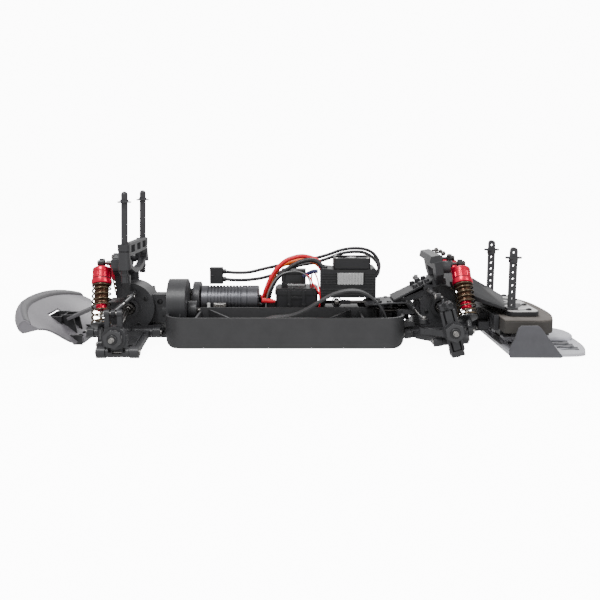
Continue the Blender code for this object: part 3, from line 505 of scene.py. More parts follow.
heads += [screw((x, y, 7.3), (0, 0, -1), 2.9, 0.9) for x, y in ((-222, -12), (-222, 12), (-160, -14), (-160, 14), (-196, -14), (-196, 14))]
put("underside_screws", join(*heads), SCREWM, bevel=0)
put("battery_foam_pads", join(box(-45, -10, -52, -14, 6.3, 8.2), box(5, 28, -52, -14, 6.3, 8.2)), FOAM, bevel=0.6)

# ---------- rear gear case ----------
ax, az = REAR_AXLE[0], 39.5
case = fuse(rod((ax, -18, az), (ax, 18, az), 27, n=64),
            rod((ax, -22, az), (ax, 22, az), 10.5),
            box(-166, -146.5, -11, 11, 22, 53),
            rod((-150, 0, SPUR_Z), (-146.2, 0, SPUR_Z), 12.5),
            box(-229, -150, -19.5, 19.5, 10.6, 20),
            box(-228.7, -222, -33, 33, 11.5, 17.5), rod((-229, -28, 14.5), (-221.3, -28, 14.5), 5.4), rod((-229, 28, 14.5), (-221.3, 28, 14.5), 5.4),
            box(-157.5, -150.3, -33, 33, 11.5, 17.5), rod((-157.8, -28, 14.5), (-149.8, -28, 14.5), 5.4), rod((-157.8, 28, 14.5), (-149.8, 28, 14.5), 5.4),
            cut=(box(-215, -190.2, -30, 30, 45.5, 70), rod((-152.6, -12, 44.8), (-152.6, -8.5, 44.8), 3.2, n=20), rod((-152.6, 12, 44.8), (-152.6, 8.5, 44.8), 3.2, n=20),
                 rod((ax, -24, az), (ax, -17, az), 7.4), rod((ax, 24, az), (ax, 17, az), 7.4),
                 box(ax - 40, ax + 40, -0.35, 0.35, 66, 70)))
put("rear_gearbox", case, PLASTIC, rep=("rear_gearbox_case",), bevel=0.5)
bits = []
for s in (-1, 1):
    bits += [screw((ax + 20.5 * math.cos(a), s * 17.9, az + 20.5 * math.sin(a)), (0, s, 0), 2.4, 1.3) for a in (0.5, 2.0, 3.6, 5.2)]
    bits += [screw((-152.6, s * 9.0, 44.8), (0, s, 0), 2.2, 0.9)]
put("rear_gearbox_screws", join(*bits), SCREWM, bevel=0)
put("rear_output_cups", join(*[fuse(rod((ax, s * 17, az), (ax, s * 27.5, az), 6.2), cut=(rod((ax, s * 20, az), (ax, s * 30, az), 4.2), box(ax - 8, ax + 8, min(s * 22, s * 30), max(s * 22, s * 30), az - 1.6, az + 1.6))) for s in (-1, 1)]),
    DARKST, bevel=0.25)

# ---------- spur gear, its cover, the pinion ----------


def gear(teeth, root, tip, a, b, y, z, phase, thick=0.36):
    pts = []
    for i in range(teeth):
        for k, r in ((-0.5 * thick - 0.13, root), (-0.5 * thick + 0.05, tip), (0.5 * thick - 0.05, tip), (0.5 * thick + 0.13, root)):
            t = 2 * math.pi * (i + phase + k) / teeth
            pts.append((y + r * math.cos(t), z + r * math.sin(t)))
    return plate(pts, "X", a, b)


lean = math.atan2(MOTOR_Z - SPUR_Z, MOTOR_Y)
holes = [rod((-140, 14 * math.cos(a), SPUR_Z + 14 * math.sin(a)), (-120, 14 * math.cos(a), SPUR_Z + 14 * math.sin(a)), 4.4, n=20) for a in [i * math.pi / 3 for i in range(6)]]
put("spur_gear", fuse(gear(SPUR_TEETH, 23.1, 25.1, -134, -127.5, 0, SPUR_Z, SPUR_TEETH * lean / (2 * math.pi)), cut=holes), PLASTIC2, "spur_gear", ("spur_gear_shaft",), bevel=0)
put("drive_shaft", join(rod((-145.7, 0, SPUR_Z), (112, 0, SPUR_Z), 3.0, n=24), rod((-145.7, 0, SPUR_Z), (-136.5, 0, SPUR_Z), 6), rod((-128, 0, SPUR_Z), (-118, 0, SPUR_Z), 6), rod((110.5, 0, SPUR_Z), (114, 0, SPUR_Z), 6)),
    DARKST, "spur_gear", bevel=0.3)
put("pinion", fuse(gear(PINION_TEETH, 8.6, 10.7, -135, -126.5, MOTOR_Y, MOTOR_Z, PINION_TEETH * (lean + math.pi) / (2 * math.pi) + 0.5),
                   rod((-127.5, MOTOR_Y, MOTOR_Z), (-123.8, MOTOR_Y, MOTOR_Z), 6, n=24)), BRASS, "pinion", ("pinion_gear",), bevel=0)
put("motor_shaft", rod((-137.0, MOTOR_Y, MOTOR_Z), (-134.9, MOTOR_Y, MOTOR_Z), 2.5, n=20), STEEL, "pinion", bevel=0.2)
cover = fuse(rod((-143.3, 0, 39.5), (-123, 0, 39.5), 29.5, n=72),
             rod((-138.8, MOTOR_Y, MOTOR_Z), (-123.3, MOTOR_Y, MOTOR_Z), 14.5, n=40),
             cut=(box(-150, -118, -40, 60, -5, 29.2),
                  rod((-141.3, 0, 39.5), (-125, 0, 39.5), 27.5, n=72),
                  rod((-137.2, MOTOR_Y, MOTOR_Z), (-125.2, MOTOR_Y, MOTOR_Z), 12.8, n=40),
                  rod((-146, 0, SPUR_Z), (-120, 0, SPUR_Z), 8), box(-150, -118, -8, 8, 8, SPUR_Z),
                  rod((-130, MOTOR_Y, MOTOR_Z), (-120, MOTOR_Y, MOTOR_Z), 7.5), box(-126, -118, MOTOR_Y - 7.5, MOTOR_Y + 7.5, 8, MOTOR_Z)))
put("gear_cover", cover, PLASTIC, rep=("spur_gear_cover",), bevel=0.7)
clip = [(-139.6, -27.4, 37.5), (-139.6, -28.6, 31.5), (-137.6, -28.6, 29.2), (-130.4, -28.6, 29.2), (-128.4, -28.6, 31.5), (-128.4, -27.4, 37.5)]
put("gear_cover_clip", tube(spline(clip, 1.5), 1.0, 4, smooth=False), PLASTIC, bevel=0)
put("centre_bearing_block", join(box(-123, -112.6, -16, 10, 6.4, 26), rod((-122.6, 0, SPUR_Z), (-113, 0, SPUR_Z), 11)), PLASTIC, bevel=0.6)

# ---------- motor and its mount ----------
mount = fuse(rod((-120.8, MOTOR_Y, MOTOR_Z), (-112.6, MOTOR_Y, MOTOR_Z), 22.5, n=64),
             box(-120.8, -112.6, MOTOR_Y - 18, MOTOR_Y + 18, 6.6, 24),
             cut=(rod((-123, MOTOR_Y, MOTOR_Z), (-110, MOTOR_Y, MOTOR_Z), 8.5),))
put("motor_plate", mount, PLASTIC, rep=("motor_mount",), bevel=0.8)
put("motor_screws", join(*[screw((-120.7, MOTOR_Y + s * 12.5 * 0.8, MOTOR_Z + s * 12.5 * 0.6), (-1, 0, 0), 2.7, 1.6) for s in (-1, 1)]), STEEL, bevel=0)
profile = [(0, 0), (14, 0), (16.8, 0.2), (18, 1.4), (18, 7.6)]
for i in range(11):
    g = 8.2 + 3.75 * i
    profile += [(18, g), (17.0, g + 0.35), (17.0, g + 1.35), (18, g + 1.7)]
profile += [(18, 52.4), (17.5, 52.8), (17.5, 53.4), (18, 53.8), (18, 65), (17.2, 66.2), (9, 66.2), (9, 65.4), (0, 65.4)]
motor = lathe(profile, (-112.2, MOTOR_Y, MOTOR_Z), (1, 0, 0), 64)
put("motor_body", motor, MOTORM, rep=("motor_can",), bevel=0, smooth=30)
put("motor_wire_boots", join(*[rod((-46.3, y, z), (-43.4, y, z), 3.0, n=24) for y, z in ((26, 45), (32, 34), (42, 40))]), BLACKP, bevel=0.4)
put("motor_terminal_block", join(box(-96, -82, 6, 13, 36.4, 40.6), box(-94.5, -83.5, 5.6, 6.3, 37.4, 39.6)), STEEL, bevel=0.3)
put("white_spacer", box(-102.5, -99.5, 4, 9, 34.8, 41), WHITEP, bevel=0.3)

# ---------- rear shock tower ----------
tower = plate([(-26, 52), (-19.2, 52), (-19.2, 64), (-12, 69.5), (12, 69.5), (19.2, 64), (19.2, 52), (26, 52), (26, 62), (31, 76), (41, 83), (41, 96),
               (28, 97), (15, 88), (-15, 88), (-28, 97), (-41, 96), (-41, 83), (-31, 76), (-26, 62)], "X", -196.5, -190.6)
adds, cuts = [], []
for s in (-1, 1):
    adds += [box(-196.5, -181.8, min(s * 19.2, s * 26), max(s * 19.2, s * 26), 52, 76),
             rod((-198.2, s * 32, 90), (-186, s * 32, 90), 5.4),
             box(-196, -182, min(s * 36, s * 48), max(s * 36, s * 48), 86, 95),
             beam((-184, s * 22.5, 55), (-176, s * 22.5, 55), 8, 8)]
    cuts += [rod((-200, s * 10, 79), (-188, s * 10, 79), 2.4, n=20)]
tower = fuse(tower, *adds, cut=cuts)
put("rear_tower", tower, PLASTIC, rep=("rear_shock_tower",), bevel=0.6)
arch = plate([(-47, 94), (-34, 88), (-18, 83.5), (0, 82), (18, 83.5), (34, 88), (47, 94), (47, 89), (34, 83), (18, 78.5), (0, 77), (-18, 78.5), (-34, 83), (-47, 89)],
             "X", -184, -176.5)
put("rear_arch", fuse(arch, *[rod((-184.5, s * 44, 90), (-175.8, s * 44, 90), 4.6) for s in (-1, 1)]), PLASTIC, bevel=0.7)
bar = box(-183, -176, -46, 46, 98.5, 112)
bar = fuse(bar, cut=[box(-190, -178, s * 30 - 9, s * 30 + 9, 101.5, 109) for s in (-1, 0, 1)] + [box(-181, -170, s * 30 - 9, s * 30 + 9, 101.5, 109) for s in (-1, 0, 1)])
put("rear_post_crossbar", bar, PLASTIC, bevel=0.5)
sockets, rings = [], []
for s in (-1, 1):
    sockets += [fuse(lathe([(0, 0), (6.9, 0), (6.9, 3), (5.9, 19), (5.9, 19.4), (6.5, 19.8), (6.5, 26.5), (3.9, 26.5), (3.9, 2), (0, 2)], (-182, s * POST_Y, 84.5), (0, 0, 1), 40),
                     box(-186, -178, min(s * 40, s * 46), max(s * 40, s * 46), 86, 94))]
    rings += [rod((-182, s * POST_Y, 103.1), (-182, s * POST_Y, 104.1), 6.15, n=40)]
put("rear_post_sockets", join(*sockets), PLASTIC, bevel=0.35)
put("rear_post_rings", join(*rings), BLACKP, bevel=0.15)
pins_ = []
for s in (-1, 1):
    pins_ += [rod((-198, s * 32, 90), (-204.3, s * 32, 90), 2.6, n=20), rod((-204, s * 32, 90), (-213, s * 32, 90), 1.6, n=20), screw((-212.2, s * 32, 90), (-1, 0, 0), 3.2, 1.9),
              rod((-177, s * 24, 55), (-177, s * 35.8, 55), 2.0, n=20), screw((-196.4, s * 22.6, 66), (-1, 0, 0), 2.6, 1.6), screw((-196.4, s * 22.6, 56), (-1, 0, 0), 2.6, 1.6)]
put("rear_tower_studs", join(*pins_), DARKST, bevel=0.15)
post = join(fuse(rod((-182.5, -POST_Y, 70.8), (-179.6, -POST_Y, 163.0), 3.45, n=32), ball((-179.6, -POST_Y, 162.3), 3.4)),
            lathe([(0, 0), (6.4, 0), (7.2, 0.4), (7.2, 1.1), (6.4, 1.5), (4.4, 1.7), (4.4, 3.2), (0, 3.2)], (-179.9, -POST_Y, 154), (0, 0, 1), 40),
            lathe([(0, 0), (4.1, 0), (4.3, 1.2), (4.1, 2.4), (0, 2.4)], (-182.3, -POST_Y, 78), (0, 0, 1), 32))
put2("rear_post", post, PLASTIC, rep=("rear_body_post",), bevel=0.2)

# ---------- rear bumper and diffuser ----------


def bumper_point(y, k):
    a = abs(y) / 100
    t = max(0.0, (abs(y) - 30) / 70)
    s = t * t * (3 - 2 * t)
    xf, zf = -238 - 20 * t ** 1.2, 3.4 + 27 * s
    xr, zr = -290.5 + 25.5 * a ** 2.2, 44 - 10 * a ** 3
    if k <= 6:
        u = k / 6
        return (xf + (xr - xf) * u, y, zf + (zr - zf) * u)
    dx, dz = [(-1.5, 3.2), (-4.5, 5.6), (-8, 5.0), (-11, 0), (-12, -8), (-10, -15), (-6, -20)][k - 7]
    return (xr + dx, y, zr + dz * (1 - 0.25 * a ** 4 if dz > 0 else 1 - 0.62 * a * a))


def shell(rows, ks, thick, even=True):
    bm = bmesh.new()
    bmesh.ops.create_grid(bm, x_segments=len(rows) - 1, y_segments=len(ks) - 1, size=1)
    for v in bm.verts:
        i, k = round((v.co.x + 1) / 2 * (len(rows) - 1)), round((v.co.y + 1) / 2 * (len(ks) - 1))
        kk = ks[k]
        lo_k = int(math.floor(kk))
        f = kk - lo_k
        p = Vector(bumper_point(rows[i], lo_k))
        if f > 1e-6:
            p = p.lerp(Vector(bumper_point(rows[i], lo_k + 1)), f)
        v.co = p * MM
    skin = keep(bm)
    sub = skin.modifiers.new("round", "SUBSURF")
    sub.levels = sub.render_levels = 1
    mod = skin.modifiers.new("thick", "SOLIDIFY")
    mod.thickness = thick * MM
    mod.offset = 0
    mod.use_even_offset = even
    return settle(skin)


rows = [-98 + 196 * i / 40 for i in range(41)]
hole = turned(box(-274, -260, -18.7, 18.7, 10, 70), 8, "Y", (-267, 0, 34))
floor_skin = fuse(shell(rows, [0, 1, 2, 3, 4, 5, 6], 2.2), cut=(hole,))
put("rear_scoop", floor_skin, GREYSKIN, rep=("rear_bumper",), bevel=0.5)
put("rear_rim", shell(rows, [6, 7, 8, 9, 10, 11, 12, 13], 2.2), GREYSKIN, bevel=0.5)
band = shell([-97 + 194 * i / 40 for i in range(41)], [6.3, 6.7, 7, 7.5, 8, 8.4], 3.0)
put("rear_rim_band", band, RIMSKIN, bevel=0.6)
put("rear_bumper_ends", join(*[plate([bumper_point(98, k)[::2] for k in range(14)], "Y", *sorted((s * 97.9, s * 95.6))) for s in (-1, 1)]), GREYSKIN, bevel=0.5)
put("rear_tongue", fuse(box(-246, -233.5, -26, 26, 1.6, 8.5), cut=[rod((-239, y, 0), (-239, y, 10), 2.0, n=20) for y in (-18, 0, 18)]), GREYSKIN, bevel=0.8)
stay = []
for s in (-1, 1):
    stay += [beam((-254, s * 11, 26), (-214, s * 11, 43), 11, 3.6)]
put("rear_bumper_stays", join(*stay), RIMSKIN, bevel=0.6)
gus = []
for s in (-1, 1):
    gus += [plate([(-268, 24), (-252, 10), (-244, 5), (-248.5, 30.5), (-262, 30.5)], "Y", s * 11 - 1.6, s * 11 + 1.6), plate([(-252, 12), (-243, 1.2), (-233.5, 1.2), (-233.5, 12)], "Y", s * 31.8 - 1.2, s * 31.8 + 1.2)]
gus += [fuse(box(-275.0, -259.2, -19.6, 19.6, 21, 30), cut=(box(-273.6, -260.6, -18.2, 18.2, 10, 50),))]
put("rear_bumper_gussets", join(*gus), PLASTIC2, bevel=0.4)
put("rear_bumper_screws", join(*[screw((-239, y, 8.4), (0, 0, 1), 2.8, 1.5) for y in (-18, 0, 18)], *[screw((-217, s * 11, 43.4), (0.3, 0, 0.9), 2.6, 1.5) for s in (-1, 1)]), SCREWM, bevel=0)
# ---------- front gear case and bulkhead ----------


def line_z(x):
    return FRONT_HINGE[2] + math.tan(math.radians(KICK_UP)) * (x - FRONT_HINGE[0])


fx = FRONT_AXLE[0]
base = turned(box(114.5, 205, -19, 19, 9.7, 18), -KICK_UP, "Y", (112, 0, 9.2))
adds = [rod((fx, -17.5, 41), (fx, 17.5, 41), 22.5, n=64), rod((fx, -21, 41), (fx, 21, 41), 11),
        box(128, 140, -10, 10, 20, 46), rod((114.6, 0, SPUR_Z), (129, 0, SPUR_Z), 5.5),
        box(196, 207, -19, 19, 20, 34)]
for s in (-1, 1):
    adds += [rod((114.6, s * 28, line_z(114.6)), (121, s * 28, line_z(121)), 5.2),
             box(114.8, 120.4, min(0, s * 29), max(0, s * 29), 11.9, 15),
             box(192.3, 203.7, min(s * 18, s * 36), max(s * 18, s * 36), 19.2, 27.2)]
case = fuse(base, *adds, cut=(rod((fx, -24, 41), (fx, -16, 41), 7.4), rod((fx, 24, 41), (fx, 16, 41), 7.4)))
put("front_gearbox", case, PLASTIC, rep=("front_gearbox_case",), bevel=0.5)
put("bumper_backplate", fuse(box(204, 209.4, -55, 55, 21.5, 37.5), cut=[rod((200, y, 29), (212, y, 29), 3, n=24) for y in (-44, -32, 32, 44)]), PLASTIC, bevel=0.5)
bits = []
for s in (-1, 1):
    bits += [screw((fx + 16.5 * math.cos(a), s * 17.4, 41 + 16.5 * math.sin(a)), (0, s, 0), 2.2, 1.3) for a in (0.4, 1.9, 3.5, 5.1)]
    bits += [screw((203.8, s * 28, 23), (1, 0, 0), 2.2, 0.6)]
put("front_gearbox_screws", join(*bits), SCREWM, bevel=0)
put("front_output_cups", join(*[fuse(rod((fx, s * 16, 41), (fx, s * 26, 41), 6.0), cut=(rod((fx, s * 19, 41), (fx, s * 28, 41), 4.1), box(fx - 8, fx + 8, min(s * 21, s * 28), max(s * 21, s * 28), 39.5, 42.5))) for s in (-1, 1)]),
    DARKST, bevel=0.25)

# ---------- front shock tower and top brace ----------
ft = plate([(-20, 50), (20, 50), (24, 66), (38, 78), (40, 92), (34, 97), (-34, 97), (-40, 92), (-38, 78), (-24, 66)], "X", 151, 159)
ft = fuse(ft, box(148, 162, -24, -17.8, 48, 72), box(148, 162, 17.8, 24, 48, 72), cut=(rod((140, 0, 41.5), (175, 0, 41.5), 12), plate([(-13, 60), (13, 60), (20, 84), (-20, 84)], "X", 140, 170)))
ft = turned(ft, -11, "Y", (155, 0, 50))
ft = fuse(ft, *[box(136, 152, min(s * 15, s * 22), max(s * 15, s * 22), 55, 65) for s in (-1, 1)], cut=(rod((fx, -30, 41), (fx, 30, 41), 23.4, n=64),))
put("front_tower", ft, PLASTIC, rep=("front_shock_tower",), bevel=0.6)
put("front_tower_cap", fuse(plate([(138, 90.5), (139.5, 97.5), (150, 99.2), (151.5, 92), (150.6, 89.6)], "Y", -39, 39), cut=[box(141, 148, y - 9, y + 9, 80, 95) for y in (-27, 0, 27)]), PLASTIC, bevel=0.8)
put2("front_tower_boss", fuse(rod((146, -30, 85.5), (161, -30, 85.5), 6.6), rod((158, -30, 88.4), (163.6, -30, 88.6), 3.6)), PLASTIC, bevel=0.8)
studs = []
for s in (-1, 1):
    studs += [rod((160, s * 30, 89), (176.5, s * 30, 89), 1.6, n=20), screw((175.3, s * 30, 89), (1, 0, 0), 3.2, 1.9),
              rod((139, s * 18, 60), (139, s * 35.6, 60), 2.0, n=20), ball((155, s * 22, 99.2), 2.7), ball((160.5, s * 26, 97.2), 2.3),
              screw((150.5, s * 12, 99), (0.3, 0, 1), 2.4, 1.4)]
put("front_tower_studs", join(*studs), DARKST, bevel=0)
bm = bmesh.new()
for x, y, z in [(151, 24, 68), (151, 24, 59), (183, 30, 62), (183, 30, 57), (196, 38, 52), (196, 38, 48), (215, 54, 45.6), (215, 54, 43.4),
                (150, 0, 79), (189, 0, 72), (226, 0, 50.5), (227, 0, 43.4), (218, 44, 43.4), (218, 40, 47)]:
    for s in ((-1, 1) if y else (1,)):
        bm.verts.new(Vector((x, s * y, z)) * MM)
bmesh.ops.convex_hull(bm, input=bm.verts)
brace = fuse(keep(bm), cut=(rod((fx, -30, 41), (fx, 30, 41), 23.4, n=64), box(165.0, 198, -26, 26, 40, 58), box(163, 177, -43, -20.5, 50, 82), box(163, 177, 20.5, 43, 50, 82)))
put("front_brace", brace, BLACKP, bevel=0.8)

# ---------- front deck over the steering ----------
put("front_deck", fuse(plate([(74, 39.5), (76, 42), (100, 44.2), (117, 44.9), (117, 46.6), (99, 46), (75, 43.8), (72.5, 41.5)], "Y", -24, 24), cut=(box(68, 90.5, -0.5, 9.5, 30, 52),)), PLASTIC, bevel=0.4)
put("front_deck_posts", join(*[rod((x, s * 19.5, 8), (x, s * 19.5, 43), 3.2) for x in (90,) for s in (-1, 1)]), PLASTIC, bevel=0.3)
put("deck_knob", join(lathe([(0, 0), (4.1, 0), (4.1, 2.6), (3.5, 3.4), (2.0, 3.4), (2.0, 2.4), (0, 2.4)], (86.5, -16, 44), (0, 0, 1), 28)), BLACKP, bevel=0.2)
put("deck_screws", join(*[screw((x, y, z), (0, 0, 1), 2.5, 1.4) for x, y, z in ((98, -18, 45.8), (98, 18, 45.8), (112, 17, 46.3), (112, -20, 46.3))]), SCREWM, bevel=0)
slope = plate([(-21, 0), (21, 0), (16.5, 56), (-16.5, 56)], "Z", -1.3, 1.3)
slope.data.transform(Matrix.Translation(Vector((103, 0, 47.5)) * MM) @ Matrix.Rotation(math.radians(-27), 4, "Y") @ Matrix.Rotation(math.radians(-90), 4, "Z"))
put("sloping_brace", slope, BLACKP, bevel=0.5)
put("sloping_brace_web", fuse(plate([(104, 45.8), (152, 66), (152, 58), (131, 50.5), (118, 47)], "Y", -15.5, -13.5), plate([(104, 45.8), (152, 66), (152, 58), (131, 50.5), (118, 47)], "Y", 13.5, 15.5),
                              plate([(118, 47.2), (131, 51.5), (150, 58), (150, 56), (132, 49.6), (119, 45.8)], "Y", -15, 15)), PLASTIC, bevel=0.4)
put("steering_post_knobs", join(*[lathe([(0, 0), (2.9, 0), (2.9, 4.2), (2.3, 4.9), (0, 4.9)], p, (-0.25, 0, 0.97), 24) for p in ((127.5, -13, 60), (133.5, -13, 63.2), (140, -13, 65.8), (127.5, 13, 60), (133.5, 13, 63.2), (140, 13, 65.8))]), PLASTIC, bevel=0.2)
c_block = fuse(plate([(107, 20), (125.5, 20), (125.5, 24.5), (112.5, 24.5), (112.5, 33.5), (125.5, 33.5), (125.5, 38.2), (107, 38.2)], "Y", -23.6, -19.6), rod((109.5, -21.6, 18), (109.5, -21.6, 38), 3.3))
put2("steering_post_frame", c_block, PLASTIC, bevel=0.5)
put("hinge_pin_sleeves", join(*[rod((111.5, s * 25.8, 12), (131, s * 25.8, 14), 2.7, n=24) for s in (-1, 1)]), finish_of("sleeve_grey", (0.09, 0.09, 0.095), 0.35, metal=0.6), bevel=0.3)

# ---------- foam bumper, plate, posts, splitter ----------
edge = [(210, -76)]
for i in range(41):
    y = -80 + 160 * i / 40
    edge.append((270 - 14 * (abs(y) / 80) ** 3 - (8 * max(0, (abs(y) - 72) / 8) ** 2), y))
edge += [(210, 76)]
put("foam_body", plate(edge, "Z", 22, 34.8), FOAM, rep=("bumper_foam",), bevel=1.0)
put("foam_skin", plate([(x - 0.4 if x > 211 else x, y * 0.995) for x, y in edge], "Z", 34.6, 36.7), FOAMTOP, bevel=0.8)
put("body_plate_edge", plate(rounded(217.5, 251, -60, 60, 8), "Z", 37.1, 41.6), BLACKP, rep=("front_body_plate",), bevel=0.6)
put("body_plate_face", plate(rounded(218.6, 249.9, -58.9, 58.9, 7), "Z", 41.5, 42.5), PALEPL, bevel=0.25)
marks = [plate([(222, -40), (234, -36), (241, -24), (244, -8), (238, -6), (234, -18), (228, -27), (221, -31)], "Z", 42.3, 42.75),
         plate([(224, -19), (231, -14), (233, -3), (226, -2), (221, -8)], "Z", 42.3, 42.75),
         plate([(222, 40), (234, 36), (241, 24), (244, 8), (238, 6), (234, 18), (228, 27), (221, 31)], "Z", 42.3, 42.75),
         plate([(224, 19), (231, 14), (233, 3), (226, 2), (221, 8)], "Z", 42.3, 42.75),
         plate([(228, -55), (244, -50), (246, -46), (230, -50)], "Z", 42.3, 42.75), plate([(228, 55), (244, 50), (246, 46), (230, 50)], "Z", 42.3, 42.75)]
put("body_plate_pattern", join(*marks), MARK, bevel=0.08)
put("body_plate_screws", join(*[screw((x, y, 42.5), (0, 0, 1), 2.9, 1.7) for x, y in ((241, -51.5), (241, 51.5), (245, -19), (245, 19), (222, 0))]), SCREWM, bevel=0)
px = 223.5
holes = [rod((px + 0.1, -POST_Y - 6, 47.5 + 6.9 * i), (px + 0.1, -POST_Y + 6, 47.5 + 6.9 * i), 1.35, n=20) for i in range(9) if not 94 < 47.5 + 6.9 * i < 100]
post = fuse(plate([(px - 3.7, 42.9), (px + 3.7, 42.9), (px + 3.9, 104), (px + 3.4, 106.4), (px + 2.0, 107.8), (px + 0.2, 108.2), (px - 1.7, 107.8), (px - 3.1, 106.3), (px - 3.5, 104)], "Y", -POST_Y - 2.8, -POST_Y + 2.8), cut=holes)
put2("front_post", post, PLASTIC, rep=("front_body_post",), bevel=0.6)
flange = fuse(plate(rounded(px - 8.5, px + 8.9, -POST_Y - 5, -POST_Y + 5, 4.9, 8), "Z", 96.4, 98.2), rod((px, -POST_Y, 92.5), (px, -POST_Y, 96.6), 4.9), cut=(box(px - 3.3, px + 3.5, -POST_Y - 2.5, -POST_Y + 2.5, 90, 100),))
put2("front_post_flange", flange, PLASTIC, bevel=0.3)
put2("front_post_foot", fuse(box(px - 6, px + 6, -POST_Y - 5, -POST_Y + 5, 42.9, 45.2), cut=(box(px - 3.3, px + 3.3, -POST_Y - 2.5, -POST_Y + 2.5, 40, 50),)), PLASTIC, bevel=0.5)

front = [(262, 91), (272, 90.6), (283, 89.4), (288.5, 86.5), (291, 84), (297, 66), (300, 52), (301.5, 40), (303, 18), (303.5, 0)]
out = [(x, -y) for x, y in [(214, 91), *front[:-1]]] + [(303.5, 0)] + [(x, y) for x, y in reversed([(214, 91), *front[:-1]])]
slots = [box(270, 289, s * y - 4.5, s * y + 4.5, -1, 12) for s in (-1, 1) for y in (36, 52, 68)]
put("splitter_tray", fuse(plate(out, "Z", 1.2, 4.4), cut=slots), PALESKIN, rep=("front_splitter",), bevel=0.6)
put("splitter_underside", fuse(plate([(x if x < 250 else x - 1.5, y * 0.985) for x, y in out], "Z", 0.7, 1.5), cut=[box(270, 289, s * y - 4.5, s * y + 4.5, -1, 12) for s in (-1, 1) for y in (36, 52, 68)]), FENCE, bevel=0.2)
put("splitter_pad", plate([(222, -28), (288, -28), (296, -24), (301, -14), (302.5, 0), (301, 14), (296, 24), (288, 28), (222, 28)], "Z", 4.0, 9), PALESKIN, bevel=1.6)
lou = []
for s in (-1, 1):
    for y in (36, 52, 68):
        lou += [plate([(270, 2.2), (271, 2.2), (288.5, 4.6), (288.5, 5.4)], "Y", s * y - 4.6, s * y + 4.6), box(268.5, 290.2, s * y - 5.6 if s > 0 else s * y + 4.6, s * y - 4.6 if s > 0 else s * y + 5.6, 4.2, 5.6)]
put("splitter_louvres", join(*lou), FENCE, bevel=0.2)
fence = [(213, 0.2), (211.6, 3), (212.2, 11), (217, 20), (220, 30.5), (223, 32.9), (240, 32.9), (243, 30.5), (262, 6), (266, 1.2), (264, 0)]
put2("splitter_fence", fuse(plate(fence, "Y", -91.5, -88.9), plate([(229, 1.5), (250, 1.5), (250, 4.4), (229, 4.4)], "Y", -89.5, -84)), FENCE, bevel=0.6)
put("splitter_mount", box(222, 240, -12, 12, 4, 21.6), PLASTIC, bevel=0.6)
put("splitter_screws", join(*[screw((x, s * y, 4.3), (0, 0, 1), 2.8, 1.4) for s in (-1, 1) for x, y in ((226, 40), (226, 76), (252, 60))], *[screw((x, s * 16, 8.9), (0, 0, 1), 2.8, 1.4) for s in (-1, 1) for x in (232, 272)]), SCREWM, bevel=0)

# ---------- steering servo and linkage ----------
put("servo_case", fuse(box(28, 68, 12, 46, 10, 27.6), box(28.4, 67.6, 12.4, 45.6, 27.4, 28.2), box(28, 68, 12, 46, 28.0, 34), rod((42, 12.5, 26), (42, 8.6, 26), 6)), BLACKP, rep=("steering_servo",), bevel=0.6)
put("servo_bracket", fuse(box(22, 74, 18, 21, 6.6, 34), cut=[rod((x, 16, z), (x, 23, z), 1.6, n=16) for x in (25, 71) for z in (14, 28)]), PLASTIC, bevel=0.4)
put("servo_screws", join(*[screw((x, 18, z), (0, -1, 0), 2.3, 1.4) for x in (25, 71) for z in (14, 28)]), STEEL, bevel=0)
horn = fuse(rod((42, 4.4, 26), (42, 8.2, 26), 5), beam((42, 6.3, 26), (42, 6.3, 43), 6, 3.6, up=(0, 1, 0)), rod((42, 4.5, 43), (42, 8.1, 43), 3.3, n=24))
put("servo_arm", horn, PLASTIC2, "horn", ("servo_horn",), bevel=0.4)
put("servo_arm_ball", join(rod((42, 5, 43), (42, -0.6, 43), 1.5, n=20), ball((42, 1.6, 43), 3.0), screw((42, 4.5, 26), (0, -1, 0), 2.6, 1.6), rod((42, 0.0, 43), (42, -0.9, 43), 2.2, n=6)), STEEL, "horn", bevel=0)
put("drag_link_ends", fuse(rod((42, 0.2, 43), (42, 3.8, 43), 5.6), beam((46, 2, 43), (57, 2.8, 42.6), 4.6, 4.4), cut=(rod((42, -2, 43), (42, 6, 43), 4.7, n=24),)), BLACKP, "link_rod", ("drag_link",), bevel=0.4)
put("drag_link_front_end", fuse(rod((98, 6, 38), (98, 6, 42.7), 4.2), beam((85, 5, 41.3), (96, 5.9, 40.6), 4.4, 3.4), cut=(rod((98, 6, 36), (98, 6, 45), 2.6, n=24),)), BLACKP, "link_rod", bevel=0.4)
put("drag_link_rod", rod((55, 2.7, 42.7), (87, 5.2, 41.5), 1.6, n=20), DARKST, "link_rod", bevel=0)
put("rack_bar", fuse(box(118.5, 126, -20, 20, 40.6, 43.6), cut=[rod((122, y, 38), (122, y, 46), 2.0, n=20) for y in (-8, 0, 8)]), MOTORM, "rack", ("steering_rack",), bevel=0.5)
put("rack_ball_studs", join(*[rod((122, s * 19, 42), (122, s * 26, 42), 1.8, n=20) for s in (-1, 1)], *[ball((122, s * 25, 42), 2.7) for s in (-1, 1)]), STEEL, "rack", bevel=0)
ti, to = Vector(TIE_IN), Vector(TIE_OUT)
put2("tie_rod_bar", rod(mid(ti, to, 0.18), mid(ti, to, 0.82), 1.6, n=20), DARKST, "tie_rod", ("tie_rod",), bevel=0)
put2("tie_rod_ends", join(rod(mid(ti, to, 0.08), mid(ti, to, 0.27), 2.6, n=20), rod(mid(ti, to, 0.73), mid(ti, to, 0.92), 2.6, n=20),
                          rod(ti - Vector((0, 0, 2.4)), ti + Vector((0, 0, 2.4)), 4.0), fuse(rod(to - Vector((0, 0, 2.2)), to + Vector((0, 0, 2.2)), 4.6), cut=(rod(to - Vector((0, 0, 4)), to + Vector((0, 0, 4)), 3.7, n=28),))), PLASTIC2, "tie_rod", bevel=0.3)
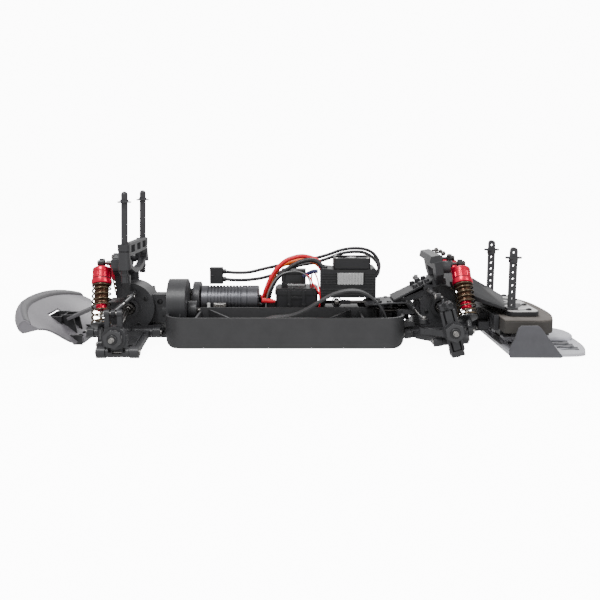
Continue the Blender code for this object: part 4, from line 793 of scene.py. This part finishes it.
put2("tie_rod_balls", join(ball(to, 2.9), rod(to, to + Vector((0, 0, 4.6)), 1.6, n=20), screw(to + Vector((0, 0, 3.4)), (0, 0, 1), 2.3, 1.6)), STEEL, "tie_rod", bevel=0)

# ---------- receiver box ----------
rx = fuse(plate(rounded(-26, 21, 6, 50, 3.5, 6), "Z", 6.6, 50.5), cut=(box(-17, 12, 4, 6.9, 12, 34),))
put("receiver_case", rx, BLACKP, rep=("receiver_box",), bevel=0.5)
put("receiver_lid", fuse(plate(rounded(-27, 22, 5, 51, 4, 8), "Z", 50.2, 55.4), plate(rounded(-25, 20, 7, 49, 4, 8), "Z", 55, 57)), BLACKP, bevel=0.8)
put("receiver_clips", join(*[fuse(box(x, x + 3.5, 3.8, 6.4, 37, 55), box(x - 0.6, x + 4.1, 3.4, 6.2, 37, 40)) for x in (-12.5, 3.5)], box(-9, 3.5, 4.4, 6.2, 46, 48)), BLACKP, bevel=0.35)
put("capacitor_box", fuse(box(-20, 8, 28, 46, 56, 75.8), cut=(box(-16, 4, 26, 29, 60, 71),)), PLASTIC2, bevel=1.0)
put("capacitor_band", box(-13, 7.4, 27.6, 29.5, 57.3, 59.6), ALU, bevel=0.3)

# ---------- speed controller ----------
esc = fuse(box(24.3, 86, 5, 48, 47, 70), plate([(24.3, 69.8), (24.3, 79), (26, 80), (38, 78.6), (76, 78.6), (84.5, 80), (86, 79), (86, 69.8)], "Y", 5, 48),
           box(24.3, 30, 22, 44, 35.5, 48), box(78, 86, 22, 44, 6.6, 48), cut=(box(42, 73, 3, 9, 61.4, 75.2), box(23, 88, 4, 5.8, 58.8, 59.6)))
put("esc_body", esc, BLACKP, rep=("esc_case",), bevel=0.5)
put("esc_ribs", join(*[box(x - 0.1, x + w, 4.3, 5.4, 62.2 + 2.9 * i, 63.3 + 2.9 * i) for i in range(5) for x, w in ((25.5, 16.2), (73.6, 11.6))], *[box(25.5, 85, 4.5, 5.4, 49.5 + 3.0 * i, 50.4 + 3.0 * i) for i in range(3)]), BLACKP, bevel=0.2)
put("esc_heatsink", join(box(43, 72, 7.8, 9.4, 61.6, 75), *[box(44 + 3.2 * i, 45.5 + 3.2 * i, 4.2, 8.4, 61.8, 74.8) for i in range(9)]), ALU, bevel=0.15)
fan_frame = fuse(plate(rounded(39, 80, 7.5, 47, 3, 8), "Z", 79.4, 91), cut=(rod((59.5, 27, 82.2), (59.5, 27, 95), 18.4, n=64), *[rod((x, y, 78), (x, y, 95), 1.6, n=16) for x in (42, 77) for y in (10.5, 44)]))
put("fan_frame", fuse(fan_frame, rod((59.5, 27, 81.5), (59.5, 27, 83.4), 4, n=32)), BLACKP, bevel=0.5)
put("fan_screws", join(*[screw((x, y, 90.2), (0, 0, 1), 2.4, 1.2) for x in (42, 77) for y in (10.5, 44)]), STEEL, bevel=0)
blades = [turned(turned(box(59.5 + 6.5, 59.5 + 17, 27 - 0.6, 27 + 5.6, 86.4, 87.3), 28, "X", (59.5, 27, 87)), 360 / 7 * i, "Z", (59.5, 27, 87)) for i in range(7)]
put("fan_rotor", join(lathe([(0, 0), (7.4, 0), (7.5, 0.3), (7.5, 5.8), (6.9, 6.4), (0, 6.5)], (59.5, 27, 83.8), (0, 0, 1), 40), *blades), PLASTIC2, "fan", ("cooling_fan",), bevel=0.2)
put("fan_hub_label", lathe([(0, 0), (5.2, 0), (5.2, 0.25), (0, 0.25)], (59.5, 27, 90.2), (0, 0, 1), 32), ALU, "fan", bevel=0.05)
MOTOR_WIRES = {
    "red": [(-44.6, 26, 45), (-40.5, 25.6, 45.6), (-37.6, 24, 53.4), (-32.9, 24, 64.8), (-26, 24, 76.2), (-17, 24, 85.3), (-7.9, 24, 89.8), (3.5, 24, 92), (14.8, 24, 89.8), (21.6, 24, 86), (26, 24, 76)],
    "black": [(-44.6, 32, 34), (-40.5, 31, 34.3), (-35, 18, 42), (-31, 14, 56), (-23.5, 14, 69), (-10, 14, 80.2), (4.6, 14, 87.4), (19.2, 14, 87.4), (29.3, 14, 77)],
    "orange": [(-44.6, 42, 40), (-40.5, 42, 40.6), (-33, 40, 58), (-23.5, 36, 77), (-12, 35, 83), (-2, 34, 85.5), (10, 33, 86.5), (20, 32, 83), (27, 31, 76)],
}
for key, look in (("red", WRED), ("black", RUBBER), ("orange", WORANGE)):
    wire("motor_wire_" + key, MOTOR_WIRES[key], 2.5, look)
put("motor_wire_collars", join(*[rod((x, y, 79.2), (x, y, 81.4), 3.4, n=24) for x, y in ((25.6, 24.2), (28.6, 14.0), (26.2, 31.4))]), BLACKP, bevel=0.3)
put("red_shrink_sleeve", join(rod((-41.5, 4.6, 44.2), (-29.0, 6.4, 43.0), 2.7, n=24), rod((-29.4, 6.3, 43.0), (-26.9, 7, 42.8), 1.8, n=20)), WRED, bevel=0.4)
AERIAL = [(-36.5, 7.2, 8), (-36.8, 6, 24), (-37, 5, 38), (-33, 4.2, 56), (-22, 3.6, 72), (-6, 3.2, 77.2), (6, 4.0, 74), (12, 6, 66), (12, 8, 57.5)]
wire("aerial_wire", AERIAL, 0.75, WGREY)
for key, route in (("a", [(14, 14, 56.8), (12, 11, 66), (8, 9, 73), (12, 7, 70), (16, 5, 62), (22.5, 3.6, 52), (23.2, 4.6, 42), (22.5, 9, 36)]),
                   ("b", [(16, 16, 56.8), (14, 13, 68), (16, 10, 76), (20, 7.5, 70), (22.3, 5, 60), (23.4, 3.9, 50), (23.2, 6, 38), (22.6, 11, 34)])):
    wire("receiver_wire_" + key, route, 0.8, WRED)
put("switch_sleeve", tube(spline([(5, 12, 70), (10, 11, 73.5), (15.5, 9.5, 76), (21, 8.5, 76.4)], 1.5), 2.2, 6, smooth=False), WNAVY, bevel=0)

# ---------- battery strap ----------
STRAP = [(-48, 6.8), (-47.5, 16), (-42, 25), (-30.5, 31.8), (-9.4, 34), (6.5, 40.2), (22.3, 49.6), (36, 57), (48.8, 60.7), (60.4, 61.2), (68.9, 59.2), (77.3, 53.9), (85.8, 45.4), (91, 36.9), (94, 25), (95.5, 12), (95.5, 6.8)]
line = spline([(x, 0, z) for x, z in STRAP], 2.5)
up, down = [], []
for i, p in enumerate(line):
    t = (line[min(i + 1, len(line) - 1)] - line[max(i - 1, 0)]).normalized()
    up.append((p.x - t.z * 0.9, p.z + t.x * 0.9))
    down.append((p.x + t.z * 0.9, p.z - t.x * 0.9))
put("battery_strap_band", plate(up + down[::-1], "Y", -46, -30), STRAPM, rep=("battery_strap",), bevel=0.4)
put("battery_strap_anchors", join(box(-52, -44, -47.5, -28.5, 6.3, 9), box(91.5, 99.5, -47.5, -28.5, 6.3, 9)), PLASTIC, bevel=0.5)
# ---------- shock absorbers ----------
def shock(stem, top, low, spring_end, turns, cup_at):
    top, low = Vector(top), Vector(low)
    length = (low - top).length
    u = (low - top) / length
    at = lambda d: top + u * d
    eye = Vector((1, 0, 0))
    body, rodb = stem + "_shock_body", stem + "_shock_rod"
    cap = lathe([(0, 5.6), (7.6, 5.6), (9.2, 6.6), (9.8, 7.6), (9.8, 10.4), (9.4, 10.7), (9.4, 11.2), (9.8, 11.5), (9.8, 17.9), (9.2, 18.3), (9.2, 18.9), (10.5, 19.2), (10.6, 20), (10.6, 23.6), (10.0, 24.6), (6, 24.6), (6, 22), (0, 22)], top, u, 64)
    flats = []
    rot = u.to_track_quat("Z", "Y").to_matrix()
    for i in range(10):
        a = 2 * math.pi * i / 10
        p = top + rot @ Vector((10.5 * math.cos(a), 10.5 * math.sin(a), 0))
        flats.append(rod(p + u * 11.9, p + u * 17.5, 1.35, n=16))
    put2(stem + "_shock_cap", fuse(cap, cut=flats), REDMET, body, (stem + "_shock_body",), bevel=0.2)
    put2(stem + "_shock_groove", lathe([(0, 18.0), (9.5, 18.0), (9.5, 19.2), (0, 19.2)], top, u, 40), BLACKP, body, bevel=0)
    put2(stem + "_shock_eye", fuse(rod(top - eye * 2.4, top + eye * 2.4, 4.8), rod(at(2.5), at(6.5), 3.0), cut=(rod(top - eye * 4, top + eye * 4, 2.2),)), PLASTIC2, body, bevel=0.5)
    prof = [(0, 23), (7.4, 23)]
    for i in range(14):
        g = 24.6 + 1.4 * i
        prof += [(7.4, g), (6.9, g + 0.5), (7.4, g + 1.0)]
    prof += [(7.4, 45.2), (6.8, 45.8), (0, 45.8)]
    put2(stem + "_shock_barrel", fuse(lathe(prof, top, u, 48), cut=(rod(at(34), at(54), 2.2, n=24),)), BRONZE, body, bevel=0)
    put2(stem + "_shock_seal", fuse(lathe([(0, 45.4), (5.0, 45.4), (5.6, 45.9), (5.6, 51.6), (4.9, 53), (0, 53)], top, u, 40), cut=(rod(at(40), at(58), 2.2, n=24),)), REDMET, body, bevel=0)
    # The shafts use the darkened steel: painted shade on a bright silver rod.
    put2(stem + "_shock_shaft", rod(at(50), at(cup_at + 4), 1.6, n=28), SHADED_ROD_STEEL, rodb, (stem + "_shock_rod",), bevel=0)
    put2(stem + "_spring_seat", lathe([(0, cup_at), (9.4, cup_at), (10.2, cup_at + 0.5), (10.2, cup_at + 1.7), (8.2, cup_at + 2.8), (3.4, cup_at + 3.2), (0, cup_at + 3.2)], top, u, 48), PLASTIC2, rodb, bevel=0)
    put2(stem + "_shock_lower_eye", fuse(rod(at(cup_at + 2.5), at(length - 3.2), 3.2), rod(low - eye * 2.4, low + eye * 2.4, 5.2), cut=(rod(low - eye * 4, low + eye * 4, 3.3),)), PLASTIC2, rodb, bevel=0.5)
    n = int(turns * 28)
    pts = []
    for i in range(n + 1):
        t = i / n
        ang = 2 * math.pi * (turns + 1.5) * t
        w = turns + 1.5
        q = t * w
        # the end turns lie close together
        d = 26.0 + (spring_end - 26.0) * min(1, max(0, (q - 0.5) / (w - 1.0))) if 0.5 < q < w - 0.5 else (26.0 if q <= 0.5 else spring_end)
        pts.append(top + rot @ Vector((9.4 * math.cos(ang), 9.4 * math.sin(ang), d)))
    coil = tube(pts, 0.9, 4, smooth=False)
    right, left = put2(stem + "_coil", coil, SPRINGM, body, (stem + "_spring",), bevel=0)
    for ob, s, side in ((right, 1, "_right"), (left, -1, "_left")):
        for mod in list(ob.modifiers):
            ob.modifiers.remove(mod)
        a = at(26.0)
        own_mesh(ob)


shock("rear", R_SHOCK_TOP, R_SHOCK_LOW, 66.8, 6.5, 68.3)
shock("front", F_SHOCK_TOP, F_SHOCK_LOW, 60.2, 6.0, 61.6)

# ---------- rear corner ----------
hy, hz = REAR_HINGE
oy = REAR_OUTER_Y
arm = plate([(-219, hy), (-160, hy), (-161, -50), (-161, oy), (-169.2, oy), (-169.2, -79), (-193.9, -79), (-193.9, oy), (-202.5, oy), (-202.5, -84), (-200.8, -80), (-200.8, -62), (-215, -38)], "Z", 11.4, 17.6)
arm = fuse(arm, rod((-220.7, hy, hz), (-158.4, hy, hz), 4.5), rod((-203, oy, hz), (-193.9, oy, hz), 6), rod((-169.2, oy, hz), (-160.4, oy, hz), 6),
           cut=(plate([(-208, -36), (-168, -36), (-168, -52), (-199, -52)], "Z", 5, 25), plate([(-195, -57), (-168, -57), (-168, -73), (-195, -73)], "Z", 5, 25),
                box(-166.6, -163.4, -86, -38, 15.8, 25)))
arm = turned(arm, REAR_DROOP, "X", (0, hy, hz))
lx, ly, lz = R_SHOCK_LOW
arm = fuse(arm, rod((-196, ly, lz - 0.5), (lx + 2.9, ly, lz), 4.2))
put2("rear_lower_arm", arm, PLASTIC, "rear_arm", ("rear_arm",), bevel=0.5)
put2("rear_shock_pin", join(rod((lx + 3.4, ly, lz), (lx - 3.4, ly, lz), 1.6, n=20), screw((lx - 2.7, ly, lz), (-1, 0, 0), 3.0, 1.8)), STEEL, "rear_arm", bevel=0)
w_oy = hy + (oy - hy) * math.cos(math.radians(REAR_DROOP))
w_oz = hz + (oy - hy) * math.sin(math.radians(REAR_DROOP))
put2("rear_hinge_pins", join(rod((-203.6, w_oy, w_oz), (-159.8, w_oy, w_oz), 1.7, n=20), *[rod((x - 0.5, w_oy, w_oz), (x + 0.5, w_oy, w_oz), 2.9, n=20) for x in (-203.7, -159.7)]), STEEL, "rear_arm", bevel=0)
put("rear_inner_pins", join(*[rod((-229.6, s * 28, 14.5), (-149.2, s * 28, 14.5), 1.6, n=20) for s in (-1, 1)], *[rod((x - 0.4, s * 28, 14.5), (x + 0.4, s * 28, 14.5), 2.6, n=20) for s in (-1, 1) for x in (-229.7, -149.1)]), STEEL, bevel=0)
rox, roz = REAR_AXLE
hub = fuse(rod((-193.3, w_oy, w_oz), (-169.8, w_oy, w_oz), 5.2), box(-192, -171.5, w_oy - 3.5, w_oy + 4, 5, 24), rod((rox, -97, roz), (rox, -85, roz), 12, n=48),
           box(-194, -189.3, -93, -87, 18, 48), box(-181.2, -176.5, -93, -87, 18, 48),
           rod((-194.2, -90, 45.5), (-189.1, -90, 45.5), 3.9), rod((-181.4, -90, 45.5), (-176.3, -90, 45.5), 3.9),
           cut=(rod((rox, -110, roz), (rox, -70, roz), 4.5), box(-190.4, -187.2, -98, -92.3, 7, 11.5), box(-176.0, -173.2, -98, -92.3, 7, 11.5), box(-186.5, -177, -100, -88, 5.5, 8.2)))
put2("rear_hub", hub, PLASTIC, "rear_hub_carrier", ("rear_hub_carrier",), bevel=0.6)
put2("rear_hub_bearing", fuse(lathe([(0, 0), (8.6, 0), (8.6, 0.9), (7.6, 1.3), (0, 1.3)], (rox, -96.4, roz), (0, -1, 0), 48), cut=(rod((rox, -110, roz), (rox, -70, roz), 4.6),)), STEEL, "rear_hub_carrier", bevel=0)
put2("rear_link_screw", join(rod((-194.6, -90, 45.5), (-176, -90, 45.5), 1.5, n=20), screw((-194.1, -90, 45.5), (-1, 0, 0), 2.7, 1.6)), STEEL, "rear_hub_carrier", bevel=0)


def wheel_hex(stem, x, z, body, rep, cup):
    r = HEX_AF / 2 / math.cos(math.pi / 6)
    face = TRACK_FACE
    hexa = fuse(rod((x, -97.9, z), (x, -face, z), r, n=6, roll=12), cut=(rod((x, -face + 0.5, z), (x, -face - 2, z), 5.2, n=48),))
    put2(stem + "_hex", hexa, HEXP, body, (rep,), bevel=0.9)
    put2(stem + "_hex_nut", lathe([(0, 0), (4.4, 0), (4.4, 0.9), (3.8, 1.4), (0, 1.4)], (x, -face + 0.4, z), (0, -1, 0), 40), PLASTIC2, body, bevel=0)
    prof = [(0, 0), (2.5, 0)]
    for i in range(8):
        g = 2.4 + 0.9 * i
        prof += [(2.5, g), (2.15, g + 0.45), (2.5, g + 0.9)]
    prof += [(2.0, 10.9), (1.1, 10.9), (1.0, 10.2), (0, 10.2)]
    put2(stem + "_stub", join(lathe(prof, (x, -face + 2.6, z), (0, -1, 0), 32)), STEEL, body, bevel=0)
    if cup:
        put2(stem + "_drive_cup", fuse(rod((x, -78, z), (x, -84.3, z), 6.2), rod((x, -80, z), (x, -88, z), 4.0), cut=(rod((x, -74, z), (x, -82.5, z), 4.2),)), DARKST, body, bevel=0.25)
    else:
        put2(stem + "_inner_stub", rod((x, -87, z), (x, -98, z), 4.0, n=32), DARKST, body, bevel=0.25)


wheel_hex("rear_wheel", rox, roz, "rear_wheel_hex", "rear_wheel_hex", True)
li, lo = Vector(R_LINK_IN), Vector(R_LINK_OUT)
put2("rear_link_bar", rod(mid(li, lo, 0.2), mid(li, lo, 0.8), 1.6, n=20), STEEL, "rear_camber_link", ("rear_camber_link",), bevel=0)
put2("rear_link_ends", join(rod(mid(li, lo, 0.06), mid(li, lo, 0.42), 2.7), rod(mid(li, lo, 0.58), mid(li, lo, 0.95), 2.7), rod(li - Vector((2.2, 0, 0)), li + Vector((2.2, 0, 0)), 4.2), rod(lo - Vector((2.1, 0, 0)), lo + Vector((2.1, 0, 0)), 3.6)), PLASTIC2, "rear_camber_link", bevel=0.3)
put2("rear_link_balls", join(ball(li, 2.8), rod(li + Vector((-3.4, 0, 0)), li + Vector((3.4, 0, 0)), 1.4, n=20), screw(li + Vector((-2.8, 0, 0)), (-1, 0, 0), 2.2, 1.4)), STEEL, "rear_camber_link", bevel=0)

# ---------- front corner ----------
px, py, pz = FRONT_HINGE
oy = FRONT_OUTER_Y
arm = plate([(122, py), (190, py), (187, -44), (173, -62), (172, oy), (163.9, oy), (163.9, -68), (145.1, -68), (145.1, oy), (137, oy), (136, -62), (125, -44)], "Z", pz - 3.2, pz + 3.2)
arm = fuse(arm, rod((121.6, py, pz), (191.2, py, pz), 4.5), rod((137, oy, pz), (145.1, oy, pz), 5.2), rod((163.9, oy, pz), (172, oy, pz), 5.2),
           cut=(plate([(132, -36), (180, -36), (168, -58), (141, -58)], "Z", 5, 30),))
arm = fuse(arm, beam((133, -35, pz), (164, -60, pz), 3.2, 4.6), beam((178, -35, pz), (146, -60, pz), 3.2, 4.6))
arm = turned(arm, -KICK_UP, "Y", (px, 0, pz))
lx, ly, lz = F_SHOCK_LOW
arm = fuse(arm, box(164.5, 172.6, ly - 5, ly + 5, 15, 25.5))
put2("front_lower_arm", arm, PLASTIC, "front_arm", ("front_arm",), bevel=0.5)
put2("front_shock_pin", join(rod((171, ly, lz), (lx + 3.4, ly, lz), 1.6, n=20), screw((lx + 2.9, ly, lz), (1, 0, 0), 3.0, 1.8)), STEEL, "front_arm", bevel=0)
put2("front_hinge_pins", join(rod((136.2, oy, line_z(136.2)), (172.9, oy, line_z(172.9)), 1.7, n=20), *[rod((x - 0.5, oy, line_z(x - 0.5)), (x + 0.5, oy, line_z(x + 0.5)), 2.8, n=20) for x in (136.2, 172.9)]), STEEL, "front_arm", bevel=0)
put("front_inner_pins", join(*[rod((113.9, s * 28, line_z(113.9)), (204.2, s * 28, line_z(204.2)), 1.6, n=20) for s in (-1, 1)]), STEEL, bevel=0)
kx, ky, kz = KINGPIN
za, zb = line_z(145.6), line_z(163.4)
chub = fuse(box(148, 157.5, -84.4, -78.6, 2, 56), box(147, 160, -95, -79, 50.5, 56.5), box(147, 160, -95, -79, 1.5, 7.4), cut=(rod((kx, -100, kz), (kx, -70, kz), 4.7), box(144, 152, -86, -77, 19, 33)))
chub = turned(chub, -CASTER, "Y", KINGPIN)
chub = fuse(chub, rod((145.6, oy, za), (163.4, oy, zb), 4.6), rod((146, -81, 55.5), (144, -81, 55.6), 3))
put2("front_caster", chub, PLASTIC, "front_caster_block", ("front_caster_block",), bevel=0.7)
ka = Vector((-math.sin(math.radians(CASTER)), 0, math.cos(math.radians(CASTER))))
kp = Vector(KINGPIN)
put2("kingpin_screws", join(screw(kp + ka * 28.8, ka, 3.0, 1.7), screw(kp - ka * 26.0, -ka, 3.0, 1.5), screw((151.0, -95.0, 55.5), (0, -1, 0.1), 2.2, 1.2), screw((143.6, -95.0, 55.4), (0, -1, 0.1), 2.2, 1.2), screw((146.4, -95.0, 51.5), (0, -1, 0.1), 1.9, 1.0)), SCREWM, "front_caster_block", bevel=0)
knuckle = fuse(rod((kx, ky, 8), (kx, ky, 49.9), 5.1), box(kx - 3.4, kx + 3.4, -96.6, -91, 9, 49))
knuckle = turned(knuckle, -CASTER, "Y", KINGPIN)
knuckle = fuse(knuckle, rod((FRONT_AXLE[0], -97, kz), (FRONT_AXLE[0], -89.5, kz), 10.6, n=48),
               beam((149, -91.5, 25), (127.5, -75.5, 25), 5.5, 6), rod((127.5, -75, 22), (127.5, -75, 28), 4.4),
               cut=(rod((FRONT_AXLE[0], -110, kz), (FRONT_AXLE[0], -70, kz), 4.5),))
put2("front_steering_knuckle", knuckle, PLASTIC, "front_knuckle", ("front_knuckle",), bevel=0.7)
legs = [turned(join(*[box(kx + sx * 6.2 - 1.5, kx + sx * 6.2 + 1.5, -95.4, -91.5, z0_, z1_) for sx in (-1, 1) for z0_, z1_ in ((34, 49.6), (7, 21))]), -CASTER, "Y", KINGPIN)]
put2("front_knuckle_legs", join(*legs), PLASTIC, "front_knuckle", bevel=0.6)
wheel_hex("front_wheel", FRONT_AXLE[0], kz, "front_wheel_hex", "front_wheel_hex", False)
li, lo = Vector(F_LINK_IN), Vector(F_LINK_OUT)
put2("front_link_bar", rod(mid(li, lo, 0.2), mid(li, lo, 0.8), 1.6, n=20), STEEL, "front_camber_link", ("front_camber_link",), bevel=0)
put2("front_link_ends", join(rod(mid(li, lo, 0.08), mid(li, lo, 0.42), 2.7), rod(mid(li, lo, 0.58), mid(li, lo, 0.93), 2.7), rod(li - Vector((2.2, 0, 0)), li + Vector((2.2, 0, 0)), 4.2), rod(lo - Vector((2.1, 0, 0)), lo + Vector((2.1, 0, 0)), 3.8)), PLASTIC2, "front_camber_link", bevel=0.3)
put2("front_link_balls", join(ball(li, 2.8), ball(lo, 2.8), rod(lo + Vector((-3.2, 0, 0)), lo + Vector((4.4, 0, -0.5)), 1.4, n=20), screw(lo + Vector((-2.6, 0, 0)), (-1, 0, 0), 2.1, 1.3)), STEEL, "front_camber_link", bevel=0)

# ---------- drive shafts ----------
for end, x, yi, zi, yo, zo in (("rear", rox, 24.5, az, 80.0, roz), ("front", fx, 23.0, 41.0, 82.6, FRONT_AXLE[1])):
    for side, s in (("_right", -1), ("_left", 1)):
        a, b = Vector((x, s * yi, zi)), Vector((x, s * yo, zo))
        n = 24
        shaft = tube([a.lerp(b, i / n) for i in range(n + 1)], 2.4, 6, smooth=False)
        ends = [ball(a, 3.6, 20), ball(b, 3.6, 20)]
        ob = bpy.data.objects.new(end + "_drive_bone" + side, join(shaft, *ends).data)
        for left in [o for o in HELP.objects if o.data == ob.data]:
            bpy.data.objects.remove(left, do_unlink=True)
        LOOKS.objects.link(ob)
        dress(ob, DARKST, 0)
        for mod in list(ob.modifiers):
            ob.modifiers.remove(mod)
        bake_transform(ob)

for left in list(HELP.objects):
    bpy.data.objects.remove(left, do_unlink=True)

# ---------- floor and light ----------
floor_mesh = bmesh.new()
bmesh.ops.create_grid(floor_mesh, x_segments=1, y_segments=1, size=12)
me = bpy.data.meshes.new("floor")
floor_mesh.to_mesh(me)
floor_mesh.free()
floor = bpy.data.objects.new("floor", me)
floor.location.z = -0.0003
scene.collection.objects.link(floor)
fm = finish_of("floor_white", (0.86, 0.86, 0.86), 0.75, vary=0.01, grain=40, bump=0.0, patch=2)
fm.node_tree.nodes["Principled BSDF"].inputs["Emission Color"].default_value = (1, 1, 1, 1)
fm.node_tree.nodes["Principled BSDF"].inputs["Emission Strength"].default_value = 11.0
me.materials.append(fm)
bm = bmesh.new()
bmesh.ops.create_uvsphere(bm, u_segments=48, v_segments=24, radius=11.0)
me = bpy.data.meshes.new("backdrop")
bm.to_mesh(me)
bm.free()
backdrop = bpy.data.objects.new("backdrop", me)
scene.collection.objects.link(backdrop)
bmat = finish_of("backdrop_white", (0.86, 0.86, 0.86), 0.75, vary=0.01, grain=40, bump=0.0, patch=2)
bmat.node_tree.nodes["Principled BSDF"].inputs["Emission Color"].default_value = (1, 1, 1, 1)
bmat.node_tree.nodes["Principled BSDF"].inputs["Emission Strength"].default_value = 11.0
me.materials.append(bmat)
for ob in (floor, backdrop):
    ob.visible_diffuse = False
    ob.visible_glossy = False
    ob.visible_transmission = False
    ob.visible_shadow = False
world = bpy.data.worlds.new("studio")
scene.world = world
world.use_nodes = True
bg = world.node_tree.nodes["Background"]
bg.inputs["Color"].default_value = (1, 1, 1, 1)
bg.inputs["Strength"].default_value = 0.85


def lamp(name, at, look_at, size, power):
    d = bpy.data.lights.new(name, "AREA")
    d.shape = "DISK"
    d.size = size
    d.energy = power
    ob = bpy.data.objects.new(name, d)
    ob.location = at
    ob.rotation_euler = (Vector(look_at) - Vector(at)).to_track_quat("-Z", "Y").to_euler()
    scene.collection.objects.link(ob)


lamp("key", (-0.5, -0.9, 1.5), (0, 0, 0.05), 0.5, 20)
lamp("fill", (1.1, -0.9, 0.9), (0, 0, 0.05), 0.6, 7)
lamp("rim", (0.2, 1.2, 1.2), (0, 0, 0.05), 0.6, 12)
